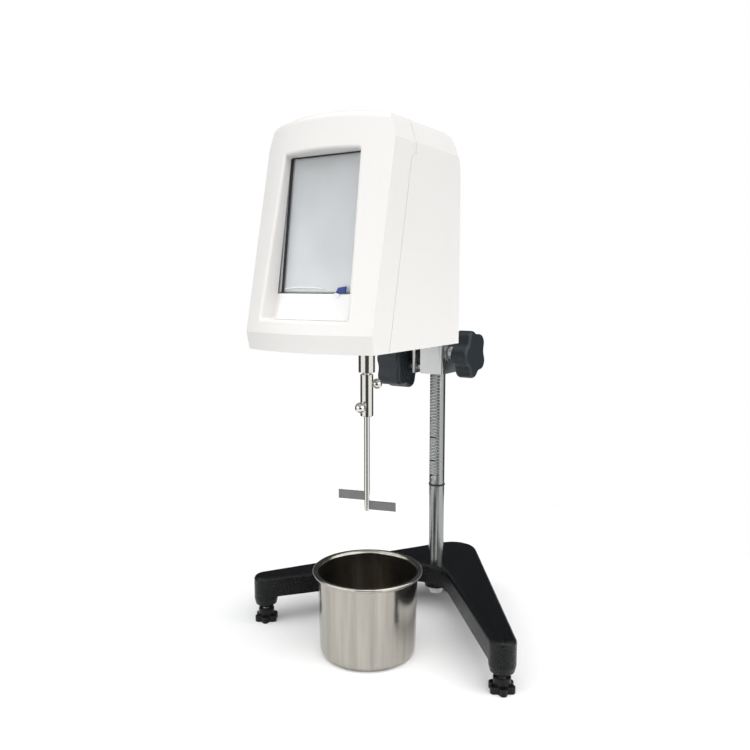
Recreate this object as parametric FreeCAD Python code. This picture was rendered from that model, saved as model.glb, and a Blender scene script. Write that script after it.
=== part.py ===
import FreeCAD, Part
import math
import os

from FreeCAD import Vector, Rotation, Placement

# Stormer viscometer: measuring head on a rack-and-pinion stand, with a paddle rotor and a cup.
# Design frame: the spindle axis is X = Y = 0, the table is Z = 0, the screen faces -Y.
# All sizes are in millimetres.

# Clearances
RUNNING = 0.04          # radial play of a shaft in its bore
PRESS = 0.02            # radial room of a pinned, glued or screwed joint
SEAT = 0.3              # gap between neighbouring bodies
FIT = 0.4               # gap round a plate that drops into a cover

# Base casting: two tapered legs that meet behind the post
POST_FROM_SPINDLE = 138.5
BASE_TOP = 48.0
LEG_HEIGHT = 20.0
CAST_WALL = 6.0
DECK_WALL = 8.0
FRONT_FOOT_X = 130.0
FOOT_BEHIND_SPINDLE = 10.0
APEX_BEHIND_POST = 44.0
LEG_TIP_R = 12.0
LEG_ROOT_R = 25.5
CROTCH_R = 40.0
BASE_EDGE_R = 4.0
FOOT_BOSS_BOTTOM = 16.3
FOOT_BOSS_TAPER = 4.0
POST_BOSS_BOTTOM = 21.0
POST_BOSS_R = 12.0

# Levelling feet
STAR_R = 11.0
STAR_LOBE_R = 2.9
STAR_LOBES = 6
STAR_HEIGHT = 9.5
STAR_COLLAR_R = 7.6
STAR_COLLAR_HEIGHT = 3.3
FOOT_STUD_R = 4.0
FOOT_STUD_LENGTH = 34.0

# Post with its milled rack
POST_R = 8.0
POST_TOP = 330.0
POST_SOCKET_DEPTH = 16.0
POST_CHAMFER = 1.2
RACK_FLAT = 7.4
RACK_START_ABOVE_RING = 5.0
STOP_RING_Z = 133.0
STOP_RING_SECTION_R = 1.9
BOLT_R = 4.0
BOLT_LENGTH = 26.0
BOLT_HEAD_HEIGHT = 5.3
BOLT_HEAD_FLATS = 13.0
WASHER_R = 11.2
WASHER_THICK = 2.3

# Rack and pinion
GEAR_MODULE = 1.0
PINION_TEETH = 10
RACK_ADDENDUM = 0.55
PINION_ADDENDUM = 0.85
TOOTH_ROOT_PLAY = 0.25
BACKLASH = 0.16
PRESSURE_ANGLE = 20.0
PINION_WIDTH = 13.0

# Carriage block that slides on the post
BLOCK_BOTTOM = 254.0
BLOCK_HEIGHT = 58.0
BLOCK_HALF_WIDTH = 18.0
BLOCK_FRONT = 25.0
BLOCK_REAR = 20.0
BLOCK_EDGE_R = 2.0
SLOT_LEFT_EAR = 4.6
SLOT_WIDTH = 5.8
SLOT_HEIGHT = 28.0
PINION_ABOVE_BOTTOM = 21.5
BUSH_R = 6.4
BUSH_FLANGE_R = 7.6
BUSH_FLANGE = 1.2
SHAFT_R = 4.0
SPIGOT_R = 3.2
LOCK_ABOVE_BOTTOM = 6.4
LOCK_FROM_POST = 17.5
LOCK_SCREW_R = 3.0
LOCK_SCREW_GRIP = 14.0

# Hand knobs
LIFT_KNOB_R = 25.0
LIFT_KNOB_THICK = 14.0
LIFT_KNOB_GAP = 13.0
LOCK_KNOB_R = 24.5
LOCK_KNOB_THICK = 22.0
LOCK_KNOB_GAP = 7.0
KNOB_LOBES = 7
KNOB_SCALLOP = 3.0
KNOB_EDGE_R = 3.0
KNOB_HUB_R = 8.5
KNOB_BORE_DEPTH = 9.0

# Measuring head, outer form
HEAD_BOTTOM = 291.3
HEAD_HALF_WIDTH = 61.5
HEAD_REAR = 59.0
HEAD_NOSE = 87.5
NOSE_ABOVE_BOTTOM = 14.6
CHIN_SETBACK = 3.5
FACE_LEAN = 12.6
FACE_BULGE = 15.0
SHOULDER_ABOVE_BOTTOM = 165.0
SHOULDER_RISE = 19.0
SHOULDER_INSET = 6.0
CROWN_RISE = 4.0
HEAD_WALL = 3.0
BROW_R = 7.0
REAR_CORNER_R = 16.0
HEAD_EDGE_R = 3.0
SEAM_FOOT = 64.0
SEAM_TOP_ABOVE_BOTTOM = 156.0
SEAM_HOOK_R = 8.0
SEAM_GAP = 0.5
COVER_LUG = 12.0
COVER_LUG_THICK = 4.0

# Screen recess
WINDOW_HALF_WIDTH = 35.0
WINDOW_BOTTOM = 45.8
WINDOW_TOP = 155.8
RECESS_BOTTOM = 24.8
SCREEN_Y_AT_BOTTOM = 75.3
SCREEN_Y_AT_TOP = 59.3
LABEL_Y_AT_BOTTOM = 81.5
RECESS_DRAFT = 0.22
RECESS_WALL = 2.4
LIP_R = 2.2
GLASS_THICK = 1.1
PANEL_THICK = 4.5
FRAME_THICK = 1.5
DISPLAY_MARGIN = 4.0
LABEL_THICK = 0.8

# Chassis inside the head
PLATE_THICK = 4.0
PLATE_ABOVE_BOTTOM = 0.5
UPRIGHT_THICK = 4.0
UPRIGHT_HALF_WIDTH = 31.0
UPRIGHT_HEIGHT = 52.0
DECK_Z = 74.0
DECK_THICK = 4.0
DECK_HALF_X = 36.0
DECK_HALF_Y = 30.0
PILLAR_X = 30.0
PILLAR_Y = 24.0
PILLAR_R = 4.0
PILLAR_SCREW_R = 1.5
PILLAR_SCREW_HEAD_R = 2.9

# Arm between the head and the carriage block
ARM_BOTTOM = 284.0
ARM_FLANGE = 5.0
ARM_WEB_HALF = 7.0
ARM_WEB_HEIGHT = 24.0
ARM_HEAD_HALF = 29.0
ARM_HEAD_HEIGHT = 46.0
ARM_HEAD_ABOVE = 8.5
ARM_SCREW_R = 2.5
ARM_SCREW_HEAD_R = 4.2
ARM_SCREW_HEAD = 4.0
ARM_HEAD_SCREW_X = 22.0
ARM_HEAD_SCREW_Z = 32.0
ARM_BLOCK_SCREW_X = 12.5

# Spindle train
QUILL_R = 7.4
QUILL_BOTTOM = 266.5
QUILL_BORE_R = 4.2
QUILL_FLANGE_R = 20.0
QUILL_FLANGE = 4.0
HOUSING_R = 13.0
HOUSING_HEIGHT = 34.0
BEARING_R = 9.5
BEARING_WIDTH = 6.0
SPINDLE_R = 3.0
DRIVEN_DISC_R = 24.0
DISC_THICK = 1.6
DISC_HUB_R = 5.5
DISC_HUB = 4.5
DRIVEN_DISC_ABOVE = 4.0
SPRING_GAP = 3.0
SPRING_COLLET_R = 5.2
SPRING_HEIGHT = 4.0
SPRING_STRIP = 0.6
SPRING_PITCH = 2.6
SPRING_HALF_TURNS = 9
DRIVE_DISC_R = 26.0
DISC_SLOTS = 12
MOTOR_HALF = 21.0
MOTOR_HEIGHT = 40.0
MOTOR_CORNER = 4.0
MOTOR_BOSS_R = 11.0
MOTOR_BOSS = 2.0
MOTOR_SHAFT_R = 2.5

# Coupling, rotor and paddle
SLEEVE_R = 5.8
SLEEVE_TOP_GAP = 1.5
SLEEVE_LENGTH = 38.0
SLEEVE_SPINDLE_DEPTH = 17.0
SLEEVE_ROD_DEPTH = 17.0
ROD_R = 2.5
ROD_BOTTOM = 140.0
ROD_CHAMFER = 0.5
PADDLE_SPAN = 54.0
BLADE_HEIGHT = 7.94
BLADE_STEP = 0.5
BLADE_THICK = 1.5
BLADE_ABOVE_TIP = 1.1
PADDLE_TURN = 15.0
BALL_R = 4.7
BALL_NECK = 0.5
BALL_STUD_R = 1.5
UPPER_SCREW_DROP = 9.5
LOWER_SCREW_DROP = 29.0
UPPER_SCREW_AZIMUTH = 66.0
LOWER_SCREW_AZIMUTH = -90.0

# Sample cup
CUP_X = -5.0
CUP_Y = 9.0
CUP_HEIGHT = 81.0
CUP_TOP_R = 45.4
CUP_BOTTOM_R = 44.0
CUP_WALL = 1.0
CUP_CORNER_R = 7.0
CUP_RIM_REACH = 6.8
CUP_BEAD_R = 2.1

# Back of the head
PORT_ROW_Z = 92.0
INLET_X = -30.0
INLET_HALF_W = 13.6
INLET_HALF_H = 9.8
INLET_DEPTH = 18.0
INLET_FLANGE = 2.5
SWITCH_X = 4.0
SWITCH_HALF_W = 9.0
SWITCH_HALF_H = 12.0
SWITCH_DEPTH = 16.0
ROCKER_HALF_W = 6.2
ROCKER_HALF_H = 9.0
ROCKER_PIVOT_R = 1.2
ROCKER_TILT = 8.0
ROCKER_ROOM = 1.7
PORT_X = 34.0
PORT_HALF_W = 12.0
PORT_HALF_H = 5.6
SUPPLY_HALF = 19.0
SUPPLY_HEIGHT = 30.0
VENT_SLOTS = 6
VENT_PITCH = 6.0
VENT_LENGTH = 60.0
VENT_HEIGHT = 2.4
VENT_FROM_BOTTOM = 128.0

# Derived places
POST_Y = POST_FROM_SPINDLE
LEG_BOTTOM = BASE_TOP - LEG_HEIGHT
APEX_Y = POST_Y + APEX_BEHIND_POST
FRONT_FOOT_Y = FOOT_BEHIND_SPINDLE
FEET = {"left": (-FRONT_FOOT_X, FRONT_FOOT_Y), "right": (FRONT_FOOT_X, FRONT_FOOT_Y),
        "rear": (0.0, APEX_Y)}
POST_BOTTOM = BASE_TOP - POST_SOCKET_DEPTH
PITCH_R = GEAR_MODULE * PINION_TEETH / 2
RACK_PITCH_LINE = RACK_FLAT - RACK_ADDENDUM
RACK_ROOT = RACK_PITCH_LINE - PINION_ADDENDUM - TOOTH_ROOT_PLAY
PINION_Y = POST_Y - RACK_PITCH_LINE - PITCH_R
PINION_Z = BLOCK_BOTTOM + PINION_ABOVE_BOTTOM
RACK_PITCH = math.pi * GEAR_MODULE
BLOCK_TOP = BLOCK_BOTTOM + BLOCK_HEIGHT
BLOCK_FRONT_Y = POST_Y - BLOCK_FRONT
LOCK_Y = POST_Y - LOCK_FROM_POST
LOCK_Z = BLOCK_BOTTOM + LOCK_ABOVE_BOTTOM
SLOT_X = -BLOCK_HALF_WIDTH + SLOT_LEFT_EAR
LEAN = math.tan(math.radians(FACE_LEAN))
NOSE_Z = HEAD_BOTTOM + NOSE_ABOVE_BOTTOM
SHOULDER_Z = HEAD_BOTTOM + SHOULDER_ABOVE_BOTTOM
PLATE_Z = HEAD_BOTTOM + PLATE_ABOVE_BOTTOM
PLATE_TOP = PLATE_Z + PLATE_THICK
REAR_INSIDE = HEAD_REAR - HEAD_WALL
DECK_BOTTOM = PLATE_TOP + DECK_Z
DECK_TOP = DECK_BOTTOM + DECK_THICK
HOUSING_TOP = PLATE_TOP + HOUSING_HEIGHT
DRIVEN_DISC_Z = HOUSING_TOP + DRIVEN_DISC_ABOVE
SPRING_Z = DRIVEN_DISC_Z + DISC_HUB
SPINDLE_TOP = SPRING_Z + SPRING_HEIGHT
DRIVE_DISC_Z = SPRING_Z + SPRING_HEIGHT + SPRING_GAP
SLEEVE_TOP = QUILL_BOTTOM - SLEEVE_TOP_GAP
SLEEVE_BOTTOM = SLEEVE_TOP - SLEEVE_LENGTH
ORIGIN_Y = (APEX_Y + LEG_ROOT_R - HEAD_NOSE - FACE_BULGE) / 2

PARTS = {}


def box(x0, x1, y0, y1, z0, z1):
    """Block between two corners."""
    return Part.makeBox(x1 - x0, y1 - y0, z1 - z0, Vector(x0, y0, z0))


def rod_z(x, y, z0, z1, r):
    """Upright cylinder."""
    return Part.makeCylinder(r, z1 - z0, Vector(x, y, z0), Vector(0, 0, 1))


def rod_x(x0, x1, y, z, r):
    """Cylinder along X."""
    return Part.makeCylinder(r, x1 - x0, Vector(x0, y, z), Vector(1, 0, 0))


def rod_y(x, y0, y1, z, r):
    """Cylinder along Y."""
    return Part.makeCylinder(r, y1 - y0, Vector(x, y0, z), Vector(0, 1, 0))


def ring_z(x, y, z0, z1, r_out, r_in):
    """Upright tube."""
    return rod_z(x, y, z0, z1, r_out).cut(rod_z(x, y, z0 - 1, z1 + 1, r_in))


def revolve_z(points, x=0.0, y=0.0):
    """Solid of revolution about an upright axis from (radius, z) points."""
    wire = Part.makePolygon([Vector(r, 0, z) for r, z in points] + [Vector(points[0][0], 0, points[0][1])])
    solid = Part.Face(wire).revolve(Vector(0, 0, 0), Vector(0, 0, 1), 360)
    solid.translate(Vector(x, y, 0))
    return solid


def prism_x(points, x0, x1):
    """Closed (y, z) outline extruded along X."""
    wire = Part.makePolygon([Vector(x0, y, z) for y, z in points] + [Vector(x0, *points[0])])
    return Part.Face(wire).extrude(Vector(x1 - x0, 0, 0))


def fuse_all(shapes):
    """One solid from overlapping pieces."""
    return shapes[0].multiFuse(shapes[1:]).removeSplitter()


def cut_all(shape, tools):
    """Take every tool out of the shape."""
    return shape.cut(Part.makeCompound(tools))


def edges_where(shape, test):
    """Edges whose middle point passes a test."""
    found = []
    for edge in shape.Edges:
        middle = edge.valueAt((edge.FirstParameter + edge.LastParameter) / 2)
        if test(middle, edge):
            found.append(edge)
    return found


def put(name, shape):
    """Store a finished sub-part."""
    PARTS[name] = shape


def lobed_outline(radius, scallop, lobes, z):
    """Closed wire of round lobes and valleys: a knob seen from its end."""
    crest = radius - scallop
    step = 2 * math.pi / lobes
    points = []
    for i in range(lobes):
        for share, r in ((-0.25, crest + 0.55 * scallop), (0.0, radius), (0.25, crest + 0.55 * scallop),
                         (0.5, crest)):
            angle = (i + share) * step
            points.append(Vector(r * math.cos(angle), r * math.sin(angle), z))
    curve = Part.BSplineCurve()
    curve.interpolate(Points=points, PeriodicFlag=True)
    return Part.Wire(curve.toShape())


# Base casting

def leg_outline(foot, tip_r, root_r):
    """Face of one tapered leg: the hull of a circle at the foot and one at the apex."""
    start = Vector(foot[0], foot[1], 0)
    end = Vector(0, APEX_Y, 0)
    length = start.distanceToPoint(end)
    along = math.atan2(end.y - start.y, end.x - start.x)
    lean = math.asin((root_r - tip_r) / length)

    def at(centre, r, angle):
        return centre + Vector(r * math.cos(angle), r * math.sin(angle), 0)

    side = math.pi / 2 + lean
    a0, a1 = at(start, tip_r, along + side), at(end, root_r, along + side)
    b0, b1 = at(start, tip_r, along - side), at(end, root_r, along - side)
    tip = at(start, tip_r, along + math.pi)
    root = at(end, root_r, along)
    wire = Part.Wire([Part.Arc(a0, tip, b0).toShape(), Part.LineSegment(b0, b1).toShape(),
                      Part.Arc(b1, root, a1).toShape(), Part.LineSegment(a1, a0).toShape()])
    return Part.Face(wire)


def v_plate(inset, z0, z1):
    """V-shaped plate with a filleted crotch, its walls moved in by an inset."""
    legs = []
    for side in ("left", "right"):
        face = leg_outline(FEET[side], LEG_TIP_R - inset, LEG_ROOT_R - inset)
        face.translate(Vector(0, 0, z0))
        legs.append(face.extrude(Vector(0, 0, z1 - z0)))
    plate = fuse_all(legs)
    crotch = edges_where(plate, lambda p, e: abs(p.x) < 0.01 and p.y < APEX_Y - 1 and abs(p.z - (z0 + z1) / 2) < 0.1)
    return plate.makeFillet(CROTCH_R + inset, crotch)


def make_base():
    body = v_plate(0, LEG_BOTTOM, BASE_TOP)
    rim = edges_where(body, lambda p, e: abs(p.z - BASE_TOP) < 0.01)
    body = body.makeFillet(BASE_EDGE_R, rim)
    body = body.cut(v_plate(CAST_WALL, LEG_BOTTOM - 1, BASE_TOP - DECK_WALL))
    bosses = []
    for x, y in FEET.values():
        taper = FOOT_BOSS_TAPER
        bosses.append(revolve_z([(0, FOOT_BOSS_BOTTOM), (LEG_TIP_R - taper, FOOT_BOSS_BOTTOM),
                                 (LEG_TIP_R - taper / 3, FOOT_BOSS_BOTTOM + taper * 0.6),
                                 (LEG_TIP_R, FOOT_BOSS_BOTTOM + 2 * taper),
                                 (LEG_TIP_R, BASE_TOP - BASE_EDGE_R - 1), (0, BASE_TOP - BASE_EDGE_R - 1)], x, y))
    bosses.append(rod_z(0, POST_Y, POST_BOSS_BOTTOM, BASE_TOP - 1, POST_BOSS_R))
    body = fuse_all([body] + bosses)
    holes = [rod_z(0, POST_Y, POST_BOTTOM, BASE_TOP + 1, POST_R + RUNNING),
             rod_z(0, POST_Y, POST_BOSS_BOTTOM - 1, POST_BOTTOM + 1, BOLT_R + SEAT)]
    for x, y in FEET.values():
        holes.append(rod_z(x, y, FOOT_BOSS_BOTTOM - 1, FOOT_STUD_LENGTH + SEAT + 1, FOOT_STUD_R + RUNNING))
    put("base_casting", cut_all(body, holes))


def make_foot(side):
    x, y = FEET[side]
    face = Part.Face(Part.Wire(Part.makeCircle(STAR_R - STAR_LOBE_R)))
    star = face.extrude(Vector(0, 0, STAR_HEIGHT))
    lobes = []
    for i in range(STAR_LOBES):
        angle = 2 * math.pi * i / STAR_LOBES
        r = STAR_R - STAR_LOBE_R
        lobes.append(rod_z(r * math.cos(angle), r * math.sin(angle), 0, STAR_HEIGHT, STAR_LOBE_R))
    star = fuse_all([star] + lobes)
    ends = edges_where(star, lambda p, e: p.z < 0.01 or p.z > STAR_HEIGHT - 0.01)
    star = star.makeChamfer(0.8, ends)
    collar = rod_z(0, 0, STAR_HEIGHT - 1, STAR_HEIGHT + STAR_COLLAR_HEIGHT, STAR_COLLAR_R)
    star = star.fuse(collar).removeSplitter()
    star.rotate(Vector(0, 0, 0), Vector(0, 0, 1), -58.0)
    star.translate(Vector(x, y, 0))
    blind = 1.5
    star = star.cut(rod_z(x, y, blind, STAR_HEIGHT + STAR_COLLAR_HEIGHT + 1, FOOT_STUD_R + PRESS))
    put("foot_star_" + side, star)
    stud = rod_z(x, y, blind, FOOT_STUD_LENGTH, FOOT_STUD_R)
    stud = stud.makeChamfer(0.8, edges_where(stud, lambda p, e: p.z > FOOT_STUD_LENGTH - 0.01))
    put("foot_stud_" + side, stud)


# Post with rack

def rack_gap_cutter():
    """One trapezoid tooth gap of the rack, with its pitch line at the origin."""
    half_space = RACK_PITCH / 4 + BACKLASH / 2
    slope = math.tan(math.radians(PRESSURE_ANGLE))
    tip = RACK_ADDENDUM + 1.0
    root = PINION_ADDENDUM + TOOTH_ROOT_PLAY
    face = RACK_PITCH_LINE
    outline = [(POST_Y - face - tip, half_space + tip * slope), (POST_Y - face + root, half_space - root * slope),
               (POST_Y - face + root, -half_space + root * slope), (POST_Y - face - tip, -half_space - tip * slope)]
    return prism_x(outline, -POST_R - 1, POST_R + 1)


def make_post():
    post = rod_z(0, POST_Y, POST_BOTTOM, POST_TOP, POST_R)
    post = post.makeChamfer(POST_CHAMFER, edges_where(post, lambda p, e: abs(p.z - POST_TOP) < 0.01))
    rack_bottom = STOP_RING_Z + RACK_START_ABOVE_RING
    flat = box(-POST_R, POST_R, POST_Y - POST_R - 1, POST_Y - RACK_FLAT, rack_bottom, POST_TOP + 1)
    first = math.ceil((rack_bottom + RACK_PITCH - PINION_Z) / RACK_PITCH)
    last = math.floor((POST_TOP - RACK_PITCH - PINION_Z) / RACK_PITCH)
    gaps = [flat]
    for i in range(first, last + 1):
        gap = rack_gap_cutter()
        gap.translate(Vector(0, 0, PINION_Z + i * RACK_PITCH))
        gaps.append(gap)
    post = cut_all(post, gaps)
    tapped = rod_z(0, POST_Y, POST_BOTTOM - 1, POST_BOSS_BOTTOM - WASHER_THICK + BOLT_LENGTH + 1, BOLT_R + PRESS)
    put("post", post.cut(tapped))

    ring = Part.makeTorus(POST_R + PRESS + STOP_RING_SECTION_R, STOP_RING_SECTION_R, Vector(0, POST_Y, STOP_RING_Z))
    put("stop_ring", ring)

    put("post_washer", ring_z(0, POST_Y, POST_BOSS_BOTTOM - WASHER_THICK, POST_BOSS_BOTTOM, WASHER_R, BOLT_R + SEAT))
    head_top = POST_BOSS_BOTTOM - WASHER_THICK
    hexagon = hex_prism(BOLT_HEAD_FLATS, head_top - BOLT_HEAD_HEIGHT, head_top)
    hexagon.translate(Vector(0, POST_Y, 0))
    put("post_bolt", hexagon.fuse(rod_z(0, POST_Y, head_top - 1, head_top + BOLT_LENGTH, BOLT_R)).removeSplitter())


def hex_prism(flats, z0, z1):
    """Hexagon bar with its under-face corners turned off."""
    r = flats / math.sqrt(3)
    points = [Vector(r * math.cos(math.radians(60 * i)), r * math.sin(math.radians(60 * i)), z0) for i in range(6)]
    bar = Part.Face(Part.makePolygon(points + [points[0]])).extrude(Vector(0, 0, z1 - z0))
    cone = Part.makeCone(flats / 2 * 0.95, flats / 2 * 0.95 + 3 * (z1 - z0), z1 - z0, Vector(0, 0, z0))
    return bar.common(cone)


# Carriage block, pinion, knobs

def make_block():
    x1 = BLOCK_HALF_WIDTH
    y0, y1 = BLOCK_FRONT_Y, POST_Y + BLOCK_REAR
    block = box(-x1, x1, y0, y1, BLOCK_BOTTOM, BLOCK_TOP)
    upright = edges_where(block, lambda p, e: abs(abs(p.x) - x1) < 0.01 and abs(p.z - (BLOCK_BOTTOM + BLOCK_TOP) / 2) < 0.1)
    block = block.makeFillet(BLOCK_EDGE_R, upright)
    tools = [rod_z(0, POST_Y, BLOCK_BOTTOM - 1, BLOCK_TOP + 1, POST_R + RUNNING)]
    tools.append(box(SLOT_X, SLOT_X + SLOT_WIDTH, y0 - 1, POST_Y, BLOCK_BOTTOM - 1, BLOCK_BOTTOM + SLOT_HEIGHT))
    pocket_r = PITCH_R + PINION_ADDENDUM + SEAT
    tools.append(rod_x(-PINION_WIDTH / 2 - SEAT, PINION_WIDTH / 2 + SEAT, PINION_Y, PINION_Z, pocket_r))
    tools.append(rod_x(PINION_WIDTH / 2, x1 + 1, PINION_Y, PINION_Z, BUSH_R + PRESS))
    tools.append(rod_x(SLOT_X + SLOT_WIDTH - 1, -PINION_WIDTH / 2, PINION_Y, PINION_Z, SPIGOT_R + RUNNING))
    tools.append(rod_x(-x1 - 1, SLOT_X + SLOT_WIDTH + LOCK_SCREW_GRIP, LOCK_Y, LOCK_Z, LOCK_SCREW_R + RUNNING))
    for x in (-ARM_BLOCK_SCREW_X, ARM_BLOCK_SCREW_X):
        tools.append(rod_y(x, y0 - 1, y0 + 12, ARM_BOTTOM + ARM_WEB_HEIGHT / 2, ARM_SCREW_R))
    put("clamp_block", cut_all(block, tools))

    bush = rod_x(PINION_WIDTH / 2 + SEAT, x1, PINION_Y, PINION_Z, BUSH_R)
    flange = rod_x(x1, x1 + BUSH_FLANGE, PINION_Y, PINION_Z, BUSH_FLANGE_R)
    bore = rod_x(0, x1 + BUSH_FLANGE + 1, PINION_Y, PINION_Z, SHAFT_R + RUNNING)
    put("pinion_bush", bush.fuse(flange).cut(bore).removeSplitter())


def involute_point(base_r, roll):
    """Point of the involute of a circle after a roll angle."""
    return (base_r * (math.cos(roll) + roll * math.sin(roll)), base_r * (math.sin(roll) - roll * math.cos(roll)))


def make_pinion():
    pressure = math.radians(PRESSURE_ANGLE)
    base_r = PITCH_R * math.cos(pressure)
    tip_r = PITCH_R + PINION_ADDENDUM
    root_r = PITCH_R - RACK_ADDENDUM - TOOTH_ROOT_PLAY
    half_tooth = math.pi / (2 * PINION_TEETH) - BACKLASH / (2 * PITCH_R)
    offset = half_tooth + math.tan(pressure) - pressure
    tip_roll = math.sqrt((tip_r / base_r) ** 2 - 1)
    flank = []
    for i in range(4):
        x, y = involute_point(base_r, tip_roll * i / 3)
        r, a = math.hypot(x, y), math.atan2(y, x)
        flank.append((r, offset - a))
    flank = [(root_r, offset)] + flank
    points = []
    for tooth in range(PINION_TEETH):
        centre = 2 * math.pi * tooth / PINION_TEETH
        for r, a in flank:
            points.append((r, centre - a))
        for r, a in reversed(flank):
            points.append((r, centre + a))
    outline = [(PINION_Y + r * math.cos(a), PINION_Z + r * math.sin(a)) for r, a in points]
    gear = prism_x(outline, -PINION_WIDTH / 2, PINION_WIDTH / 2)
    put("pinion", gear.cut(rod_x(-PINION_WIDTH, PINION_WIDTH, PINION_Y, PINION_Z, SPIGOT_R + PRESS)))


def make_pinion_shaft():
    knob_inner = BLOCK_HALF_WIDTH + LIFT_KNOB_GAP
    shaft = rod_x(PINION_WIDTH / 2, knob_inner + KNOB_BORE_DEPTH, PINION_Y, PINION_Z, SHAFT_R)
    spigot = rod_x(SLOT_X + SLOT_WIDTH + 0.5, PINION_WIDTH / 2 + 1, PINION_Y, PINION_Z, SPIGOT_R)
    put("pinion_shaft", shaft.fuse(spigot).removeSplitter())


def lobed_knob(radius, thick):
    """Lobed hand knob along +Z with a stepped hub recess on its inner end."""
    outline = lobed_outline(radius, KNOB_SCALLOP, KNOB_LOBES, 0)
    body = Part.Face(outline).extrude(Vector(0, 0, thick))
    rims = edges_where(body, lambda p, e: p.z < 0.01 or p.z > thick - 0.01)
    body = body.makeFillet(KNOB_EDGE_R, rims)
    groove = ring_z(0, 0, -1, 2.0, KNOB_HUB_R + 6.0, KNOB_HUB_R)
    return body.cut(groove)


def make_knobs():
    inner = BLOCK_HALF_WIDTH + LIFT_KNOB_GAP
    knob = lobed_knob(LIFT_KNOB_R, LIFT_KNOB_THICK)
    hub_start = BUSH_FLANGE + SEAT - LIFT_KNOB_GAP
    knob = knob.fuse(rod_z(0, 0, hub_start, 1, KNOB_HUB_R)).removeSplitter()
    knob = knob.cut(rod_z(0, 0, hub_start - 1, KNOB_BORE_DEPTH, SHAFT_R + PRESS))
    knob.rotate(Vector(0, 0, 0), Vector(0, 1, 0), 90)
    knob.rotate(Vector(0, 0, 0), Vector(1, 0, 0), 90)
    knob.translate(Vector(inner, PINION_Y, PINION_Z))
    put("lift_knob", knob)

    inner = BLOCK_HALF_WIDTH + LOCK_KNOB_GAP
    knob = lobed_knob(LOCK_KNOB_R, LOCK_KNOB_THICK)
    hub_start = SEAT - LOCK_KNOB_GAP
    knob = knob.fuse(rod_z(0, 0, hub_start, 1, KNOB_HUB_R - 2.5)).removeSplitter()
    knob = knob.cut(rod_z(0, 0, hub_start - 1, KNOB_BORE_DEPTH, LOCK_SCREW_R + PRESS))
    knob.rotate(Vector(0, 0, 0), Vector(0, 1, 0), -90)
    knob.rotate(Vector(0, 0, 0), Vector(1, 0, 0), 90)
    knob.translate(Vector(-inner, LOCK_Y, LOCK_Z))
    put("lock_knob", knob)
    end = SLOT_X + SLOT_WIDTH + LOCK_SCREW_GRIP - 1
    put("lock_screw", rod_x(-inner - KNOB_BORE_DEPTH, end, LOCK_Y, LOCK_Z, LOCK_SCREW_R))


# Arm between block and head

def make_arm():
    y0, y1 = HEAD_REAR, BLOCK_FRONT_Y
    foot_z = HEAD_BOTTOM + ARM_HEAD_ABOVE
    head_flange = box(-ARM_HEAD_HALF, ARM_HEAD_HALF, y0, y0 + ARM_FLANGE, foot_z, foot_z + ARM_HEAD_HEIGHT)
    corners = edges_where(head_flange, lambda p, e: abs(p.y - y0 - ARM_FLANGE / 2) < 0.1)
    head_flange = head_flange.makeFillet(5.0, corners)
    web_top = ARM_BOTTOM + ARM_WEB_HEIGHT
    web = prism_x([(y0 + ARM_FLANGE - 1, foot_z + 1), (y0 + ARM_FLANGE - 1, foot_z + ARM_HEAD_HEIGHT - 4),
                   (y1 - ARM_FLANGE + 1, web_top), (y1 - ARM_FLANGE + 1, ARM_BOTTOM),
                   (y0 + ARM_FLANGE + 16, ARM_BOTTOM)], -ARM_WEB_HALF, ARM_WEB_HALF)
    block_flange = box(-BLOCK_HALF_WIDTH + 1, BLOCK_HALF_WIDTH - 1, y1 - ARM_FLANGE, y1, ARM_BOTTOM, web_top)
    arm = fuse_all([head_flange, web, block_flange])
    holes = []
    mid = foot_z + ARM_HEAD_HEIGHT / 2
    head_screws = []
    block_screws = []
    for sx in (-1, 1):
        for sz in (-1, 1):
            x, z = sx * ARM_HEAD_SCREW_X, mid + sz * ARM_HEAD_SCREW_Z / 2
            holes.append(rod_y(x, y0 - 1, y0 + ARM_FLANGE + 1, z, ARM_SCREW_R + SEAT))
            head_screws.append(cap_screw(x, y0 + ARM_FLANGE, z, -1, ARM_FLANGE + HEAD_WALL + UPRIGHT_THICK))
        x, z = sx * ARM_BLOCK_SCREW_X, ARM_BOTTOM + ARM_WEB_HEIGHT / 2
        holes.append(rod_y(x, y1 - ARM_FLANGE - 1, y1 + 1, z, ARM_SCREW_R + SEAT))
        block_screws.append(cap_screw(x, y1 - ARM_FLANGE, z, 1, ARM_FLANGE + 11))
    put("arm_bracket", cut_all(arm, holes))
    put("arm_head_screws", Part.makeCompound(head_screws))
    put("arm_block_screws", Part.makeCompound(block_screws))


def cap_screw(x, y, z, way, length):
    """Socket cap screw along Y, its head seated at y and its shank running the given way."""
    head = rod_y(x, 0, ARM_SCREW_HEAD, z, ARM_SCREW_HEAD_R)
    socket = hex_prism(4.0, 0, 2.2)
    socket.rotate(Vector(0, 0, 0), Vector(1, 0, 0), -90)
    socket.translate(Vector(x, ARM_SCREW_HEAD - 2.0, z))
    head = head.cut(socket)
    shank = rod_y(x, -length, 1, z, ARM_SCREW_R - 0.02)
    screw = head.fuse(shank).removeSplitter()
    if way > 0:
        screw = screw.mirror(Vector(0, 0, 0), Vector(0, 1, 0))
    screw.translate(Vector(0, y, 0))
    return screw


# Measuring head covers

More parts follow.
